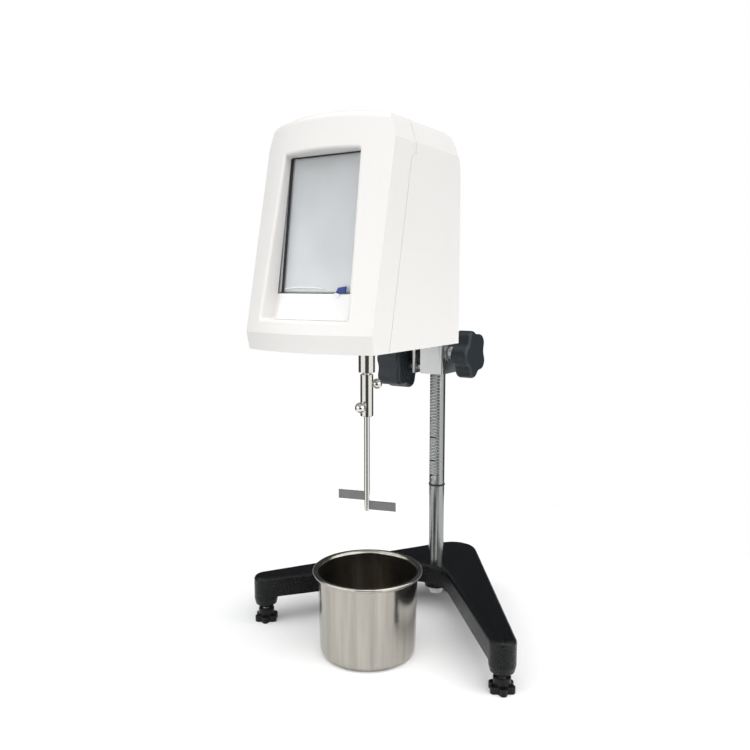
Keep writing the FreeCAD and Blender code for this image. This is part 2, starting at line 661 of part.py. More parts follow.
def oblique_front(inset, slope, z_ref):
    """Tall prism whose front is the bulged face, leaning by a slope about the nose line."""
    half = HEAD_HALF_WIDTH + 40
    reach = 400.0
    bulge = FACE_BULGE * (half / HEAD_HALF_WIDTH) ** 2
    front = -HEAD_NOSE - FACE_BULGE + inset * math.sqrt(1 + slope * slope)
    z0, z1 = z_ref - 100.0, z_ref + 300.0
    left = Vector(-half, front + bulge + slope * (z0 - z_ref), z0)
    nose = Vector(0, front + slope * (z0 - z_ref), z0)
    right = Vector(half, left.y, z0)
    back_right = Vector(half, reach, z0)
    back_left = Vector(-half, reach, z0)
    wire = Part.Wire([Part.Arc(left, nose, right).toShape(), Part.LineSegment(right, back_right).toShape(),
                      Part.LineSegment(back_right, back_left).toShape(), Part.LineSegment(back_left, left).toShape()])
    return Part.Face(wire).extrude(Vector(0, slope * (z1 - z0), z1 - z0))


def head_form(inset, open_bottom):
    """Outer or inner form of the head: leaning bulged face, shoulders, crown and rounded back."""
    half = HEAD_HALF_WIDTH - inset
    bottom = HEAD_BOTTOM - 5.0 if open_bottom else HEAD_BOTTOM
    corner_z = SHOULDER_Z - inset * 0.3
    top_half = half - SHOULDER_INSET
    top_z = SHOULDER_Z + SHOULDER_RISE - inset
    crown_z = top_z + CROWN_RISE
    y0, y1 = -HEAD_NOSE - FACE_BULGE - 20, HEAD_REAR - inset

    def at(x, z):
        return Vector(x, y0, z)

    lines = [(at(-half, bottom), at(half, bottom)), (at(half, bottom), at(half, corner_z)),
             (at(half, corner_z), at(top_half, top_z)), (at(-top_half, top_z), at(-half, corner_z)),
             (at(-half, corner_z), at(-half, bottom))]
    edges = [Part.LineSegment(a, b).toShape() for a, b in lines[:3]]
    edges.append(Part.Arc(at(top_half, top_z), at(0, crown_z), at(-top_half, top_z)).toShape())
    edges += [Part.LineSegment(a, b).toShape() for a, b in lines[3:]]
    bar = Part.Face(Part.Wire(edges)).extrude(Vector(0, y1 - y0, 0))
    rear_top = edges_where(bar, lambda p, e: abs(p.y - y1) < 0.01 and p.z > corner_z + 1)
    bar = bar.makeFillet(REAR_CORNER_R - inset, [e for e in rear_top if abs(edge_middle(e).x) < 1])
    form = bar.common(oblique_front(inset, LEAN, NOSE_Z))
    chin = -CHIN_SETBACK / NOSE_ABOVE_BOTTOM
    return form.common(oblique_front(inset, chin, NOSE_Z))


def edge_middle(edge):
    return edge.valueAt((edge.FirstParameter + edge.LastParameter) / 2)


def seam_region(shift):
    """Everything in front of the seam, with the seam moved back by a shift."""
    z0 = HEAD_BOTTOM - 20
    z1 = HEAD_BOTTOM + SEAM_TOP_ABOVE_BOTTOM - SEAM_HOOK_R
    y_foot = -SEAM_FOOT + shift
    y0 = y_foot + LEAN * (z0 - HEAD_BOTTOM)
    y1 = y_foot + LEAN * (z1 - HEAD_BOTTOM)
    front = -HEAD_NOSE - FACE_BULGE - 30
    top = SHOULDER_Z + 80

    def at(y, z):
        return Vector(-HEAD_HALF_WIDTH - 5, y, z)

    hook = Part.Arc(at(y1, z1), at(y1 + SEAM_HOOK_R * 0.293 + shift * 0, z1 + SEAM_HOOK_R * 0.707),
                    at(y1 + SEAM_HOOK_R, z1 + SEAM_HOOK_R))
    edges = [Part.LineSegment(at(front, z0), at(y0, z0)).toShape(), Part.LineSegment(at(y0, z0), at(y1, z1)).toShape(),
             hook.toShape(),
             Part.LineSegment(at(y1 + SEAM_HOOK_R, z1 + SEAM_HOOK_R), at(y1 + SEAM_HOOK_R, top)).toShape(),
             Part.LineSegment(at(y1 + SEAM_HOOK_R, top), at(front, top)).toShape(),
             Part.LineSegment(at(front, top), at(front, z0)).toShape()]
    return Part.Face(Part.Wire(edges)).extrude(Vector(2 * HEAD_HALF_WIDTH + 10, 0, 0))


def screen_y(z, back):
    """Depth of the screen plane at a height, moved back by a distance."""
    share = (z - HEAD_BOTTOM - WINDOW_BOTTOM) / (WINDOW_TOP - WINDOW_BOTTOM)
    return -SCREEN_Y_AT_BOTTOM + (SCREEN_Y_AT_BOTTOM - SCREEN_Y_AT_TOP) * share + back


def recess_funnel(grow):
    """Drafted funnel of the screen recess along Y, its walls moved out by a wall."""
    near, far = -HEAD_NOSE - FACE_BULGE - 15, -30.0
    faces = []
    for y in (near, far):
        spread = (-SCREEN_Y_AT_TOP - y) * RECESS_DRAFT
        half = WINDOW_HALF_WIDTH + spread + grow
        z0 = HEAD_BOTTOM + RECESS_BOTTOM - grow
        z1 = HEAD_BOTTOM + WINDOW_TOP + spread + grow
        corners = [Vector(-half, y, z0), Vector(half, y, z0), Vector(half, y, z1), Vector(-half, y, z1)]
        faces.append(Part.makePolygon(corners + [corners[0]]))
    funnel = Part.makeLoft(faces, True, True)
    long_edges = edges_where(funnel, lambda p, e: abs(p.y - (near + far) / 2) < 1)
    return funnel.makeFillet(2.0 + grow, long_edges)


def recess_region(back_screen, back_label):
    """Everything in front of the screen plane and the label ledge."""
    z_mid = HEAD_BOTTOM + WINDOW_BOTTOM
    z_low = HEAD_BOTTOM + RECESS_BOTTOM
    z_top = HEAD_BOTTOM + WINDOW_TOP + 30
    front = -HEAD_NOSE - FACE_BULGE - 20
    slope = (LABEL_Y_AT_BOTTOM - SCREEN_Y_AT_BOTTOM) / (WINDOW_BOTTOM - RECESS_BOTTOM)
    label_top = screen_y(z_mid, 0) + back_label
    outline = [(front, z_low - 20), (label_top - slope * (z_mid - z_low + 20), z_low - 20), (label_top, z_mid),
               (screen_y(z_mid, back_screen), z_mid + 0.01), (screen_y(z_top, back_screen), z_top), (front, z_top)]
    return prism_x(outline, -HEAD_HALF_WIDTH, HEAD_HALF_WIDTH)


def make_covers():
    outer = head_form(0, False)
    outer = outer.makeFillet(BROW_R, edges_where(outer, is_brow))
    inner = head_form(HEAD_WALL, True)
    shell = outer.cut(inner)

    front_zone = seam_region(-SEAM_GAP / 2)
    funnel_wall = recess_funnel(RECESS_WALL).common(recess_region(-SEAT, RECESS_WALL)).common(outer)
    front = shell.common(front_zone).fuse(funnel_wall)
    hollow = recess_funnel(0).common(recess_region(0, 0))
    front = front.cut(hollow)
    lips = edges_where(front, is_lip)
    front = front.makeFillet(LIP_R, lips)
    front = front.fuse(cover_lugs(-SEAM_FOOT - COVER_LUG - 4, front_zone, inner)).removeSplitter()
    put("front_cover", front.cut(Part.makeCompound(lug_holes(-1))))

    rear = shell.cut(seam_region(SEAM_GAP / 2))
    rear = rear.fuse(cover_lugs(REAR_INSIDE - COVER_LUG, None, inner)).removeSplitter()
    tools = lug_holes(1)
    tools += rear_openings()
    put("rear_cover", cut_all(rear, tools))


def is_brow(p, edge):
    """Top front edge of the head."""
    return p.z > SHOULDER_Z + SHOULDER_RISE - 3 and p.y < 0 and edge.Length > HEAD_HALF_WIDTH


def is_lip(p, edge):
    """Mouth edges of the screen recess, on the bulged face."""
    face_y = -HEAD_NOSE - FACE_BULGE + LEAN * (p.z - NOSE_Z) + FACE_BULGE * (p.x / HEAD_HALF_WIDTH) ** 2
    inside = abs(p.x) < WINDOW_HALF_WIDTH + 8 and RECESS_BOTTOM - 1 < p.z - HEAD_BOTTOM < WINDOW_TOP + 10
    return inside and abs(p.y - face_y) < 1.2


def lug_places(side):
    """Screw places of the cover lugs, front (-1) or rear (1)."""
    y = -SEAM_FOOT - COVER_LUG / 2 - 4 if side < 0 else REAR_INSIDE - COVER_LUG / 2
    x = HEAD_HALF_WIDTH - HEAD_WALL - COVER_LUG / 2
    return [(-x, y), (x, y)]


def cover_lugs(y0, zone, inner):
    """Inward lugs on the side walls that rest on the chassis plate."""
    x1 = HEAD_HALF_WIDTH - HEAD_WALL + 0.5
    z0 = PLATE_TOP
    lugs = []
    for sx in (-1, 1):
        xs = sorted((sx * x1, sx * (x1 - COVER_LUG - 0.5)))
        lugs.append(box(xs[0], xs[1], y0, y0 + COVER_LUG, z0, z0 + COVER_LUG_THICK))
    return Part.makeCompound(lugs)


def lug_holes(side):
    return [rod_z(x, y, PLATE_TOP - 1, PLATE_TOP + COVER_LUG_THICK + 1, PILLAR_SCREW_R) for x, y in lug_places(side)]


def rear_openings():
    """Cut-outs in the back: arm screws, inlet, switch, data port and vents."""
    y0, y1 = REAR_INSIDE - 2, HEAD_REAR + 1
    z = HEAD_BOTTOM + PORT_ROW_Z
    tools = [box(INLET_X - INLET_HALF_W, INLET_X + INLET_HALF_W, y0, y1, z - INLET_HALF_H, z + INLET_HALF_H),
             box(SWITCH_X - SWITCH_HALF_W, SWITCH_X + SWITCH_HALF_W, y0, y1, z - SWITCH_HALF_H, z + SWITCH_HALF_H),
             box(PORT_X - PORT_HALF_W, PORT_X + PORT_HALF_W, y0, y1, z - PORT_HALF_H, z + PORT_HALF_H)]
    mid = HEAD_BOTTOM + ARM_HEAD_ABOVE + ARM_HEAD_HEIGHT / 2
    for sx in (-1, 1):
        for sz in (-1, 1):
            tools.append(rod_y(sx * ARM_HEAD_SCREW_X, y0, y1, mid + sz * ARM_HEAD_SCREW_Z / 2, ARM_SCREW_R + SEAT))
    for i in range(VENT_SLOTS):
        zv = HEAD_BOTTOM + VENT_FROM_BOTTOM + i * VENT_PITCH
        tools.append(box(-VENT_LENGTH / 2, VENT_LENGTH / 2, y0, y1, zv, zv + VENT_HEIGHT))
    return tools


# Chassis and display

def make_chassis():
    slab = box(-HEAD_HALF_WIDTH, HEAD_HALF_WIDTH, -HEAD_NOSE - FACE_BULGE, HEAD_REAR, PLATE_Z, PLATE_TOP)
    plate = head_form(HEAD_WALL + FIT, True).common(slab)
    holes = [rod_z(0, 0, PLATE_Z - 1, PLATE_TOP + 1, QUILL_R + SEAT)]
    for side in (-1, 1):
        for x, y in lug_places(side):
            holes.append(rod_z(x, y, PLATE_Z - 1, PLATE_TOP + 1, PILLAR_SCREW_R + SEAT))
            holes.append(rod_z(x, y, PLATE_Z - 1, PLATE_Z + 2, PILLAR_SCREW_HEAD_R + SEAT))
    for x, y in pillar_places():
        holes.append(rod_z(x, y, PLATE_Z - 1, PLATE_TOP + 1, PILLAR_SCREW_R + SEAT))
        holes.append(rod_z(x, y, PLATE_Z - 1, PLATE_Z + 2, PILLAR_SCREW_HEAD_R + SEAT))
    put("chassis_plate", cut_all(plate, holes))

    y1 = REAR_INSIDE
    upright = box(-UPRIGHT_HALF_WIDTH, UPRIGHT_HALF_WIDTH, y1 - UPRIGHT_THICK, y1, PLATE_TOP, PLATE_TOP + UPRIGHT_HEIGHT)
    foot = box(-UPRIGHT_HALF_WIDTH, UPRIGHT_HALF_WIDTH, y1 - UPRIGHT_THICK - 12, y1, PLATE_TOP, PLATE_TOP + UPRIGHT_THICK)
    gusset = []
    for sx in (-1, 1):
        x = sx * (UPRIGHT_HALF_WIDTH - 2)
        gusset.append(prism_x([(y1 - 1, PLATE_TOP + 1), (y1 - UPRIGHT_THICK - 11, PLATE_TOP + 1),
                               (y1 - 1, PLATE_TOP + 24)], x - 2, x + 2))
    upright = fuse_all([upright, foot] + gusset)
    mid = HEAD_BOTTOM + ARM_HEAD_ABOVE + ARM_HEAD_HEIGHT / 2
    holes = []
    for sx in (-1, 1):
        for sz in (-1, 1):
            holes.append(rod_y(sx * ARM_HEAD_SCREW_X, y1 - UPRIGHT_THICK - 1, y1 + 1,
                               mid + sz * ARM_HEAD_SCREW_Z / 2, ARM_SCREW_R))
    put("chassis_upright", cut_all(upright, holes))

    pillars = [rod_z(x, y, PLATE_TOP, DECK_BOTTOM, PILLAR_R).cut(rod_z(x, y, PLATE_TOP - 1, DECK_BOTTOM + 1, PILLAR_SCREW_R))
               for x, y in pillar_places()]
    put("deck_pillars", Part.makeCompound(pillars))
    deck = box(-DECK_HALF_X, DECK_HALF_X, -DECK_HALF_Y, DECK_HALF_Y, DECK_BOTTOM, DECK_TOP)
    deck = deck.makeFillet(5.0, edges_where(deck, lambda p, e: abs(p.z - (DECK_BOTTOM + DECK_TOP) / 2) < 0.1))
    holes = [rod_z(0, 0, DECK_BOTTOM - 1, DECK_TOP + 1, MOTOR_BOSS_R + SEAT)]
    holes += [rod_z(x, y, DECK_BOTTOM - 1, DECK_TOP + 1, PILLAR_SCREW_R + SEAT) for x, y in pillar_places()]
    put("motor_deck", cut_all(deck, holes))

    deck_screws = [pan_screw(x, y, DECK_TOP, -1, 12) for x, y in pillar_places()]
    put("deck_screws", Part.makeCompound(deck_screws))
    seat_z = PLATE_Z + 2
    low_screws = [pan_screw(x, y, seat_z, 1, 10) for x, y in pillar_places()]
    put("pillar_screws", Part.makeCompound(low_screws))
    cover = [pan_screw(x, y, seat_z, 1, PLATE_THICK - 2 + COVER_LUG_THICK) for s in (-1, 1) for x, y in lug_places(s)]
    put("cover_screws", Part.makeCompound(cover))


def pillar_places():
    return [(sx * PILLAR_X, sy * PILLAR_Y) for sx in (-1, 1) for sy in (-1, 1)]


def pan_screw(x, y, z, way, length):
    """Small screw with its head under-face at z and its shank running up (1) or down (-1)."""
    shank = rod_z(0, 0, -length, 0.5, PILLAR_SCREW_R - 0.02)
    head = rod_z(0, 0, 0, 1.8, PILLAR_SCREW_HEAD_R)
    head = head.makeFillet(0.8, edges_where(head, lambda p, e: p.z > 1.79))
    slot = box(-PILLAR_SCREW_HEAD_R, PILLAR_SCREW_HEAD_R, -0.4, 0.4, 1.0, 2.5)
    cross = slot.copy()
    cross.rotate(Vector(0, 0, 0), Vector(0, 0, 1), 90)
    keep = rod_z(0, 0, 0, 3, 1.9)
    screw = head.fuse(shank).removeSplitter().cut(slot.fuse(cross).common(keep))
    if way > 0:
        screw.rotate(Vector(0, 0, 0), Vector(1, 0, 0), 180)
    screw.translate(Vector(x, y, z))
    return screw


def screen_sheet(half, z0, z1, near, thick):
    """Flat sheet parallel to the screen plane, from a distance behind it."""
    zb, zt = HEAD_BOTTOM + z0, HEAD_BOTTOM + z1
    outline = [(screen_y(zb, near), zb), (screen_y(zb, near + thick), zb),
               (screen_y(zt, near + thick), zt), (screen_y(zt, near), zt)]
    return prism_x(outline, -half, half)


def make_display():
    grow = DISPLAY_MARGIN
    half = WINDOW_HALF_WIDTH + grow
    z0, z1 = WINDOW_BOTTOM + 0.6, WINDOW_TOP + grow
    put("touch_glass", screen_sheet(half, z0, z1, 0, GLASS_THICK))
    panel_near = GLASS_THICK
    put("display_panel", screen_sheet(half - 1, z0 + 1, z1 - 1, panel_near, PANEL_THICK))
    tray_near = panel_near + PANEL_THICK
    tray = screen_sheet(half + 3, z0, z1 + 3, tray_near, FRAME_THICK)
    put("display_frame", tray)
    board_near = tray_near + FRAME_THICK + 6.0
    board = screen_sheet(half, z0 + 4, z1 - 6, board_near, 1.6)
    spacers = []
    for x in (-half + 5, half - 5):
        for z in (z0 + 10, z1 - 12):
            zc = HEAD_BOTTOM + z
            spacers.append(rod_y(x, screen_y(zc, tray_near + FRAME_THICK) + 0.6, screen_y(zc, board_near) - 0.6, zc, 2.5))
    put("board_spacers", Part.makeCompound(spacers))
    chips = []
    for x, z, w, h, t in ((-14, 90, 9, 9, 2), (12, 100, 7, 7, 2), (-20, 125, 12, 6, 5), (18, 70, 14, 5, 6)):
        zc = HEAD_BOTTOM + z
        y = screen_y(zc, board_near + 1.6) - 0.8
        chips.append(box(x - w, x + w, y, y + t + 0.8, zc - h, zc + h))
    put("control_board", fuse_all([board] + chips))

    slope = (LABEL_Y_AT_BOTTOM - SCREEN_Y_AT_BOTTOM) / (WINDOW_BOTTOM - RECESS_BOTTOM)
    zt, zb = HEAD_BOTTOM + WINDOW_BOTTOM - 0.6, HEAD_BOTTOM + RECESS_BOTTOM + SEAT
    yt = screen_y(HEAD_BOTTOM + WINDOW_BOTTOM, 0) - 0.6 * slope - PRESS
    yb = yt - slope * (zt - zb)
    plate = prism_x([(yt, zt), (yb, zb), (yb - LABEL_THICK, zb), (yt - LABEL_THICK, zt)],
                    -WINDOW_HALF_WIDTH, WINDOW_HALF_WIDTH)
    put("label_plate", plate)


# Spindle train

def make_spindle_housing():
    flange_top = PLATE_TOP + QUILL_FLANGE
    body = revolve_z([(QUILL_BORE_R, QUILL_BOTTOM), (QUILL_R - 0.5, QUILL_BOTTOM), (QUILL_R, QUILL_BOTTOM + 0.5),
                      (QUILL_R, PLATE_TOP), (QUILL_FLANGE_R, PLATE_TOP), (QUILL_FLANGE_R, flange_top),
                      (HOUSING_R, flange_top), (HOUSING_R, HOUSING_TOP), (BEARING_R + PRESS, HOUSING_TOP),
                      (BEARING_R + PRESS, flange_top), (QUILL_BORE_R, flange_top)])
    put("spindle_housing", body)
    low = PLATE_TOP + QUILL_FLANGE
    high = HOUSING_TOP - BEARING_WIDTH
    for name, z in (("bearing_lower", low), ("bearing_upper", high)):
        bearing = ring_z(0, 0, z, z + BEARING_WIDTH, BEARING_R, SPINDLE_R + RUNNING)
        for face in (z, z + BEARING_WIDTH):
            bearing = bearing.cut(ring_z(0, 0, face - 0.8, face + 0.8, BEARING_R - 2.0, SPINDLE_R + 2.0))
        put(name, bearing)
    put("bearing_spacer", ring_z(0, 0, low + BEARING_WIDTH, high, BEARING_R - 0.2, BEARING_R - 2.2))


def slotted_disc(radius, z, slots):
    """Encoder disc with a ring of radial slots."""
    disc = rod_z(0, 0, z, z + DISC_THICK, radius)
    cutters = []
    for i in range(slots):
        cutter = box(radius - 6.0, radius - 2.0, -1.2, 1.2, z - 1, z + DISC_THICK + 1)
        cutter.rotate(Vector(0, 0, 0), Vector(0, 0, 1), 360.0 * i / slots)
        cutters.append(cutter)
    return cut_all(disc, cutters)


def make_spindle():
    shaft_bottom = SLEEVE_TOP - SLEEVE_SPINDLE_DEPTH
    shaft = rod_z(0, 0, shaft_bottom, SPINDLE_TOP, SPINDLE_R)
    put("drive_spindle", shaft)
    disc = slotted_disc(DRIVEN_DISC_R, DRIVEN_DISC_Z, DISC_SLOTS)
    hub = rod_z(0, 0, DRIVEN_DISC_Z, SPRING_Z, DISC_HUB_R)
    bore = rod_z(0, 0, DRIVEN_DISC_Z - 1, SPRING_Z + 1, SPINDLE_R + PRESS)
    put("driven_disc", disc.fuse(hub).removeSplitter().cut(bore))

    sleeve = rod_z(0, 0, SLEEVE_BOTTOM, SLEEVE_TOP, SLEEVE_R)
    sleeve = sleeve.makeChamfer(0.5, edges_where(sleeve, lambda p, e: len(e.Vertexes) == 1))
    bores = [rod_z(0, 0, SLEEVE_TOP - SLEEVE_SPINDLE_DEPTH, SLEEVE_TOP + 1, SPINDLE_R + PRESS),
             rod_z(0, 0, SLEEVE_BOTTOM - 1, SLEEVE_BOTTOM + SLEEVE_ROD_DEPTH, ROD_R + PRESS)]
    for drop, azimuth in screw_places():
        bores.append(radial_rod(0, SLEEVE_R + 1, drop, azimuth, BALL_STUD_R + RUNNING))
    put("coupling_sleeve", cut_all(sleeve, bores))
    for name, (drop, azimuth), inner in zip(("thumb_screw_upper", "thumb_screw_lower"), screw_places(), (SPINDLE_R, ROD_R)):
        stud = radial_rod(inner + 0.3, SLEEVE_R + BALL_R, drop, azimuth, BALL_STUD_R)
        neck = radial_rod(SLEEVE_R + SEAT, SLEEVE_R + BALL_R, drop, azimuth, BALL_STUD_R + 1.0)
        ball = Part.makeSphere(BALL_R)
        reach = SLEEVE_R + BALL_NECK + BALL_R - 0.2
        angle = math.radians(azimuth)
        ball.translate(Vector(reach * math.cos(angle), reach * math.sin(angle), SLEEVE_TOP - drop))
        put(name, fuse_all([stud, neck, ball]))

    rod = rod_z(0, 0, ROD_BOTTOM, SLEEVE_BOTTOM + SLEEVE_ROD_DEPTH - SEAT, ROD_R)
    rod = rod.makeChamfer(ROD_CHAMFER, edges_where(rod, lambda p, e: len(e.Vertexes) == 1))
    low = ROD_BOTTOM + BLADE_ABOVE_TIP
    high = low + BLADE_HEIGHT + BLADE_STEP
    for name, z, way in (("paddle_blade_upper", high, -1), ("paddle_blade_lower", low, 1)):
        xs = sorted((way * (ROD_R - 0.4), way * PADDLE_SPAN / 2))
        blade = box(xs[0], xs[1], -BLADE_THICK / 2, BLADE_THICK / 2, z, z + BLADE_HEIGHT)
        blade.rotate(Vector(0, 0, 0), Vector(0, 0, 1), PADDLE_TURN)
        rod_here = rod_z(0, 0, ROD_BOTTOM, SLEEVE_BOTTOM, ROD_R + PRESS)
        put(name, blade.cut(rod_here))
    put("rotor_rod", rod)


def screw_places():
    return [(UPPER_SCREW_DROP, UPPER_SCREW_AZIMUTH), (LOWER_SCREW_DROP, LOWER_SCREW_AZIMUTH)]


def radial_rod(r0, r1, drop, azimuth, radius):
    """Cylinder that leaves the spindle axis sideways at a height below the sleeve's top."""
    angle = math.radians(azimuth)
    way = Vector(math.cos(angle), math.sin(angle), 0)
    return Part.makeCylinder(radius, r1 - r0, way * r0 + Vector(0, 0, SLEEVE_TOP - drop), way)


def make_drive():
    hub_top = DRIVE_DISC_Z + DISC_HUB
    disc = slotted_disc(DRIVE_DISC_R, DRIVE_DISC_Z, DISC_SLOTS)
    hub = rod_z(0, 0, DRIVE_DISC_Z, hub_top, DISC_HUB_R)
    bore = rod_z(0, 0, DRIVE_DISC_Z - 1, hub_top + 1, MOTOR_SHAFT_R + PRESS)
    put("drive_disc", disc.fuse(hub).removeSplitter().cut(bore))
    put("motor_shaft", rod_z(0, 0, DRIVE_DISC_Z + 0.5, DECK_BOTTOM + DECK_THICK + 10, MOTOR_SHAFT_R))
    put("torsion_spring", spiral_spring())

    z0 = DECK_TOP
    body = box(-MOTOR_HALF, MOTOR_HALF, -MOTOR_HALF, MOTOR_HALF, z0, z0 + MOTOR_HEIGHT)
    body = body.makeChamfer(MOTOR_CORNER, edges_where(body, lambda p, e: abs(p.z - z0 - MOTOR_HEIGHT / 2) < 0.1))
    body = body.fuse(rod_z(0, 0, z0 - MOTOR_BOSS, z0 + 1, MOTOR_BOSS_R)).removeSplitter()
    put("motor", body.cut(rod_z(0, 0, z0 - MOTOR_BOSS - 1, z0 + 12, MOTOR_SHAFT_R + RUNNING)))


def spiral_spring():
    """Flat spiral torsion spring of half rings that grow outward, with its collet and end stud."""
    top = SPRING_Z + SPRING_HEIGHT
    pieces = [ring_z(0, 0, SPRING_Z, top, SPRING_COLLET_R, SPINDLE_R + PRESS)]
    r = SPRING_COLLET_R + SPRING_STRIP / 4
    centre = 0.0
    tip = r
    side = 1
    for i in range(SPRING_HALF_TURNS):
        half = ring_z(centre, 0, SPRING_Z + 1, top - 1, r + SPRING_STRIP / 2, r - SPRING_STRIP / 2)
        y0, y1 = (0, 60) if side > 0 else (-60, 0)
        pieces.append(half.common(box(-60, 60, y0, y1, SPRING_Z, top)))
        tip = centre - side * r
        centre += side * SPRING_PITCH / 2
        r += SPRING_PITCH / 2
        side = -side
    pieces.append(rod_z(tip, 0, SPRING_Z + 1, DRIVE_DISC_Z - SEAT, 1.4))
    return fuse_all(pieces)


def make_sensors():
    x0 = DRIVE_DISC_R + 2.0
    yz = 7.0
    shapes = []
    for z, r in ((DRIVEN_DISC_Z, DRIVEN_DISC_R), (DRIVE_DISC_Z, DRIVE_DISC_R)):
        mid = z + DISC_THICK / 2
        body = box(r - 7.0, x0 + 5, -yz / 2, yz / 2, mid - 4.5, mid + 4.5)
        gap = box(r - 8.0, r + SEAT + 1, -yz, yz, mid - 1.6, mid + 1.6)
        shapes.append(body.cut(gap))
    put("optical_sensors", Part.makeCompound(shapes))
    post = box(x0 + 5, x0 + 7, -9, 9, PLATE_TOP, DRIVE_DISC_Z + 8)
    foot = box(x0 + 5, x0 + 15, -9, 9, PLATE_TOP, PLATE_TOP + 2)
    put("sensor_bracket", post.fuse(foot).removeSplitter())


# Back panel pieces

def make_back():
    z = HEAD_BOTTOM + PORT_ROW_Z
    y = HEAD_REAR
    inlet = box(INLET_X - INLET_HALF_W + 0.2, INLET_X + INLET_HALF_W - 0.2, y - INLET_DEPTH, y + 0.5,
                z - INLET_HALF_H + 0.2, z + INLET_HALF_H - 0.2)
    flange = box(INLET_X - INLET_HALF_W - 2, INLET_X + INLET_HALF_W + 2, y, y + INLET_FLANGE,
                 z - INLET_HALF_H - 2, z + INLET_HALF_H + 2)
    flange = flange.makeFillet(2.0, edges_where(flange, lambda p, e: abs(p.y - y - INLET_FLANGE / 2) < 0.05))
    well = box(INLET_X - 12, INLET_X + 12, y - INLET_DEPTH + 3, y + INLET_FLANGE + 1, z - 8.2, z + 8.2)
    well = well.makeChamfer(5.0, edges_where(well, lambda p, e: p.z > z + 8 and abs(p.x - INLET_X) > 11))
    pins = [box(INLET_X + dx - 1, INLET_X + dx + 1, y - INLET_DEPTH + 2, y - 6, z + dz - 2, z + dz + 2)
            for dx, dz in ((-7, -1.5), (0, 2.5), (7, -1.5))]
    put("power_inlet", fuse_all([inlet.fuse(flange).removeSplitter().cut(well)] + pins))

    frame = box(SWITCH_X - SWITCH_HALF_W + 0.2, SWITCH_X + SWITCH_HALF_W - 0.2, y - SWITCH_DEPTH, y + 0.5,
                z - SWITCH_HALF_H + 0.2, z + SWITCH_HALF_H - 0.2)
    rim = box(SWITCH_X - SWITCH_HALF_W - 1.5, SWITCH_X + SWITCH_HALF_W + 1.5, y, y + 1.8,
              z - SWITCH_HALF_H - 1.5, z + SWITCH_HALF_H + 1.5)
    room = box(SWITCH_X - ROCKER_HALF_W - 0.4, SWITCH_X + ROCKER_HALF_W + 0.4, y - 11, y + 3,
               z - ROCKER_HALF_H - ROCKER_ROOM, z + ROCKER_HALF_H + ROCKER_ROOM)
    pivot = rod_x(SWITCH_X - SWITCH_HALF_W, SWITCH_X + SWITCH_HALF_W, y - 3, z, ROCKER_PIVOT_R + RUNNING)
    put("switch_frame", frame.fuse(rim).removeSplitter().cut(room).cut(pivot))

    tilt = math.tan(math.radians(ROCKER_TILT))
    h = ROCKER_HALF_H
    rocker = prism_x([(y - 8, z - 3), (y - 8, z + 3), (y - 3, z + h), (y + 1.2 - h * tilt, z + h), (y + 1.6, z),
                      (y + 1.2 + h * tilt, z - h), (y - 3, z - h)], SWITCH_X - ROCKER_HALF_W, SWITCH_X + ROCKER_HALF_W)
    axle = rod_x(SWITCH_X - ROCKER_HALF_W - 1.4, SWITCH_X + ROCKER_HALF_W + 1.4, y - 3, z, ROCKER_PIVOT_R)
    put("switch_rocker", rocker.fuse(axle).removeSplitter())

    port = box(PORT_X - PORT_HALF_W + 0.2, PORT_X + PORT_HALF_W - 0.2, y - 10, y + 0.5,
               z - PORT_HALF_H + 0.2, z + PORT_HALF_H - 0.2)
    plate = box(PORT_X - PORT_HALF_W - 3.5, PORT_X + PORT_HALF_W + 3.5, y, y + 1.0, z - PORT_HALF_H - 0.8, z + PORT_HALF_H + 0.8)
    shell = prism_y([(PORT_X - 8.5, z + 4), (PORT_X + 8.5, z + 4), (PORT_X + 7, z - 4), (PORT_X - 7, z - 4)], y + 0.5, y + 6)
    hollow = prism_y([(PORT_X - 7.7, z + 3.3), (PORT_X + 7.7, z + 3.3), (PORT_X + 6.3, z - 3.3), (PORT_X - 6.3, z - 3.3)],
                     y - 3, y + 7)
    put("data_port", fuse_all([port, plate, shell]).cut(hollow))

    supply = box(-DECK_HALF_X, -MOTOR_HALF - 4, -SUPPLY_HALF, SUPPLY_HALF, DECK_TOP, DECK_TOP + SUPPLY_HEIGHT)
    put("power_supply", supply.makeFillet(1.5, supply.Edges))


def prism_y(points, y0, y1):
    """Closed (x, z) outline extruded along Y."""
    wire = Part.makePolygon([Vector(x, y0, z) for x, z in points] + [Vector(points[0][0], y0, points[0][1])])
    return Part.Face(wire).extrude(Vector(0, y1 - y0, 0))


# Sample cup

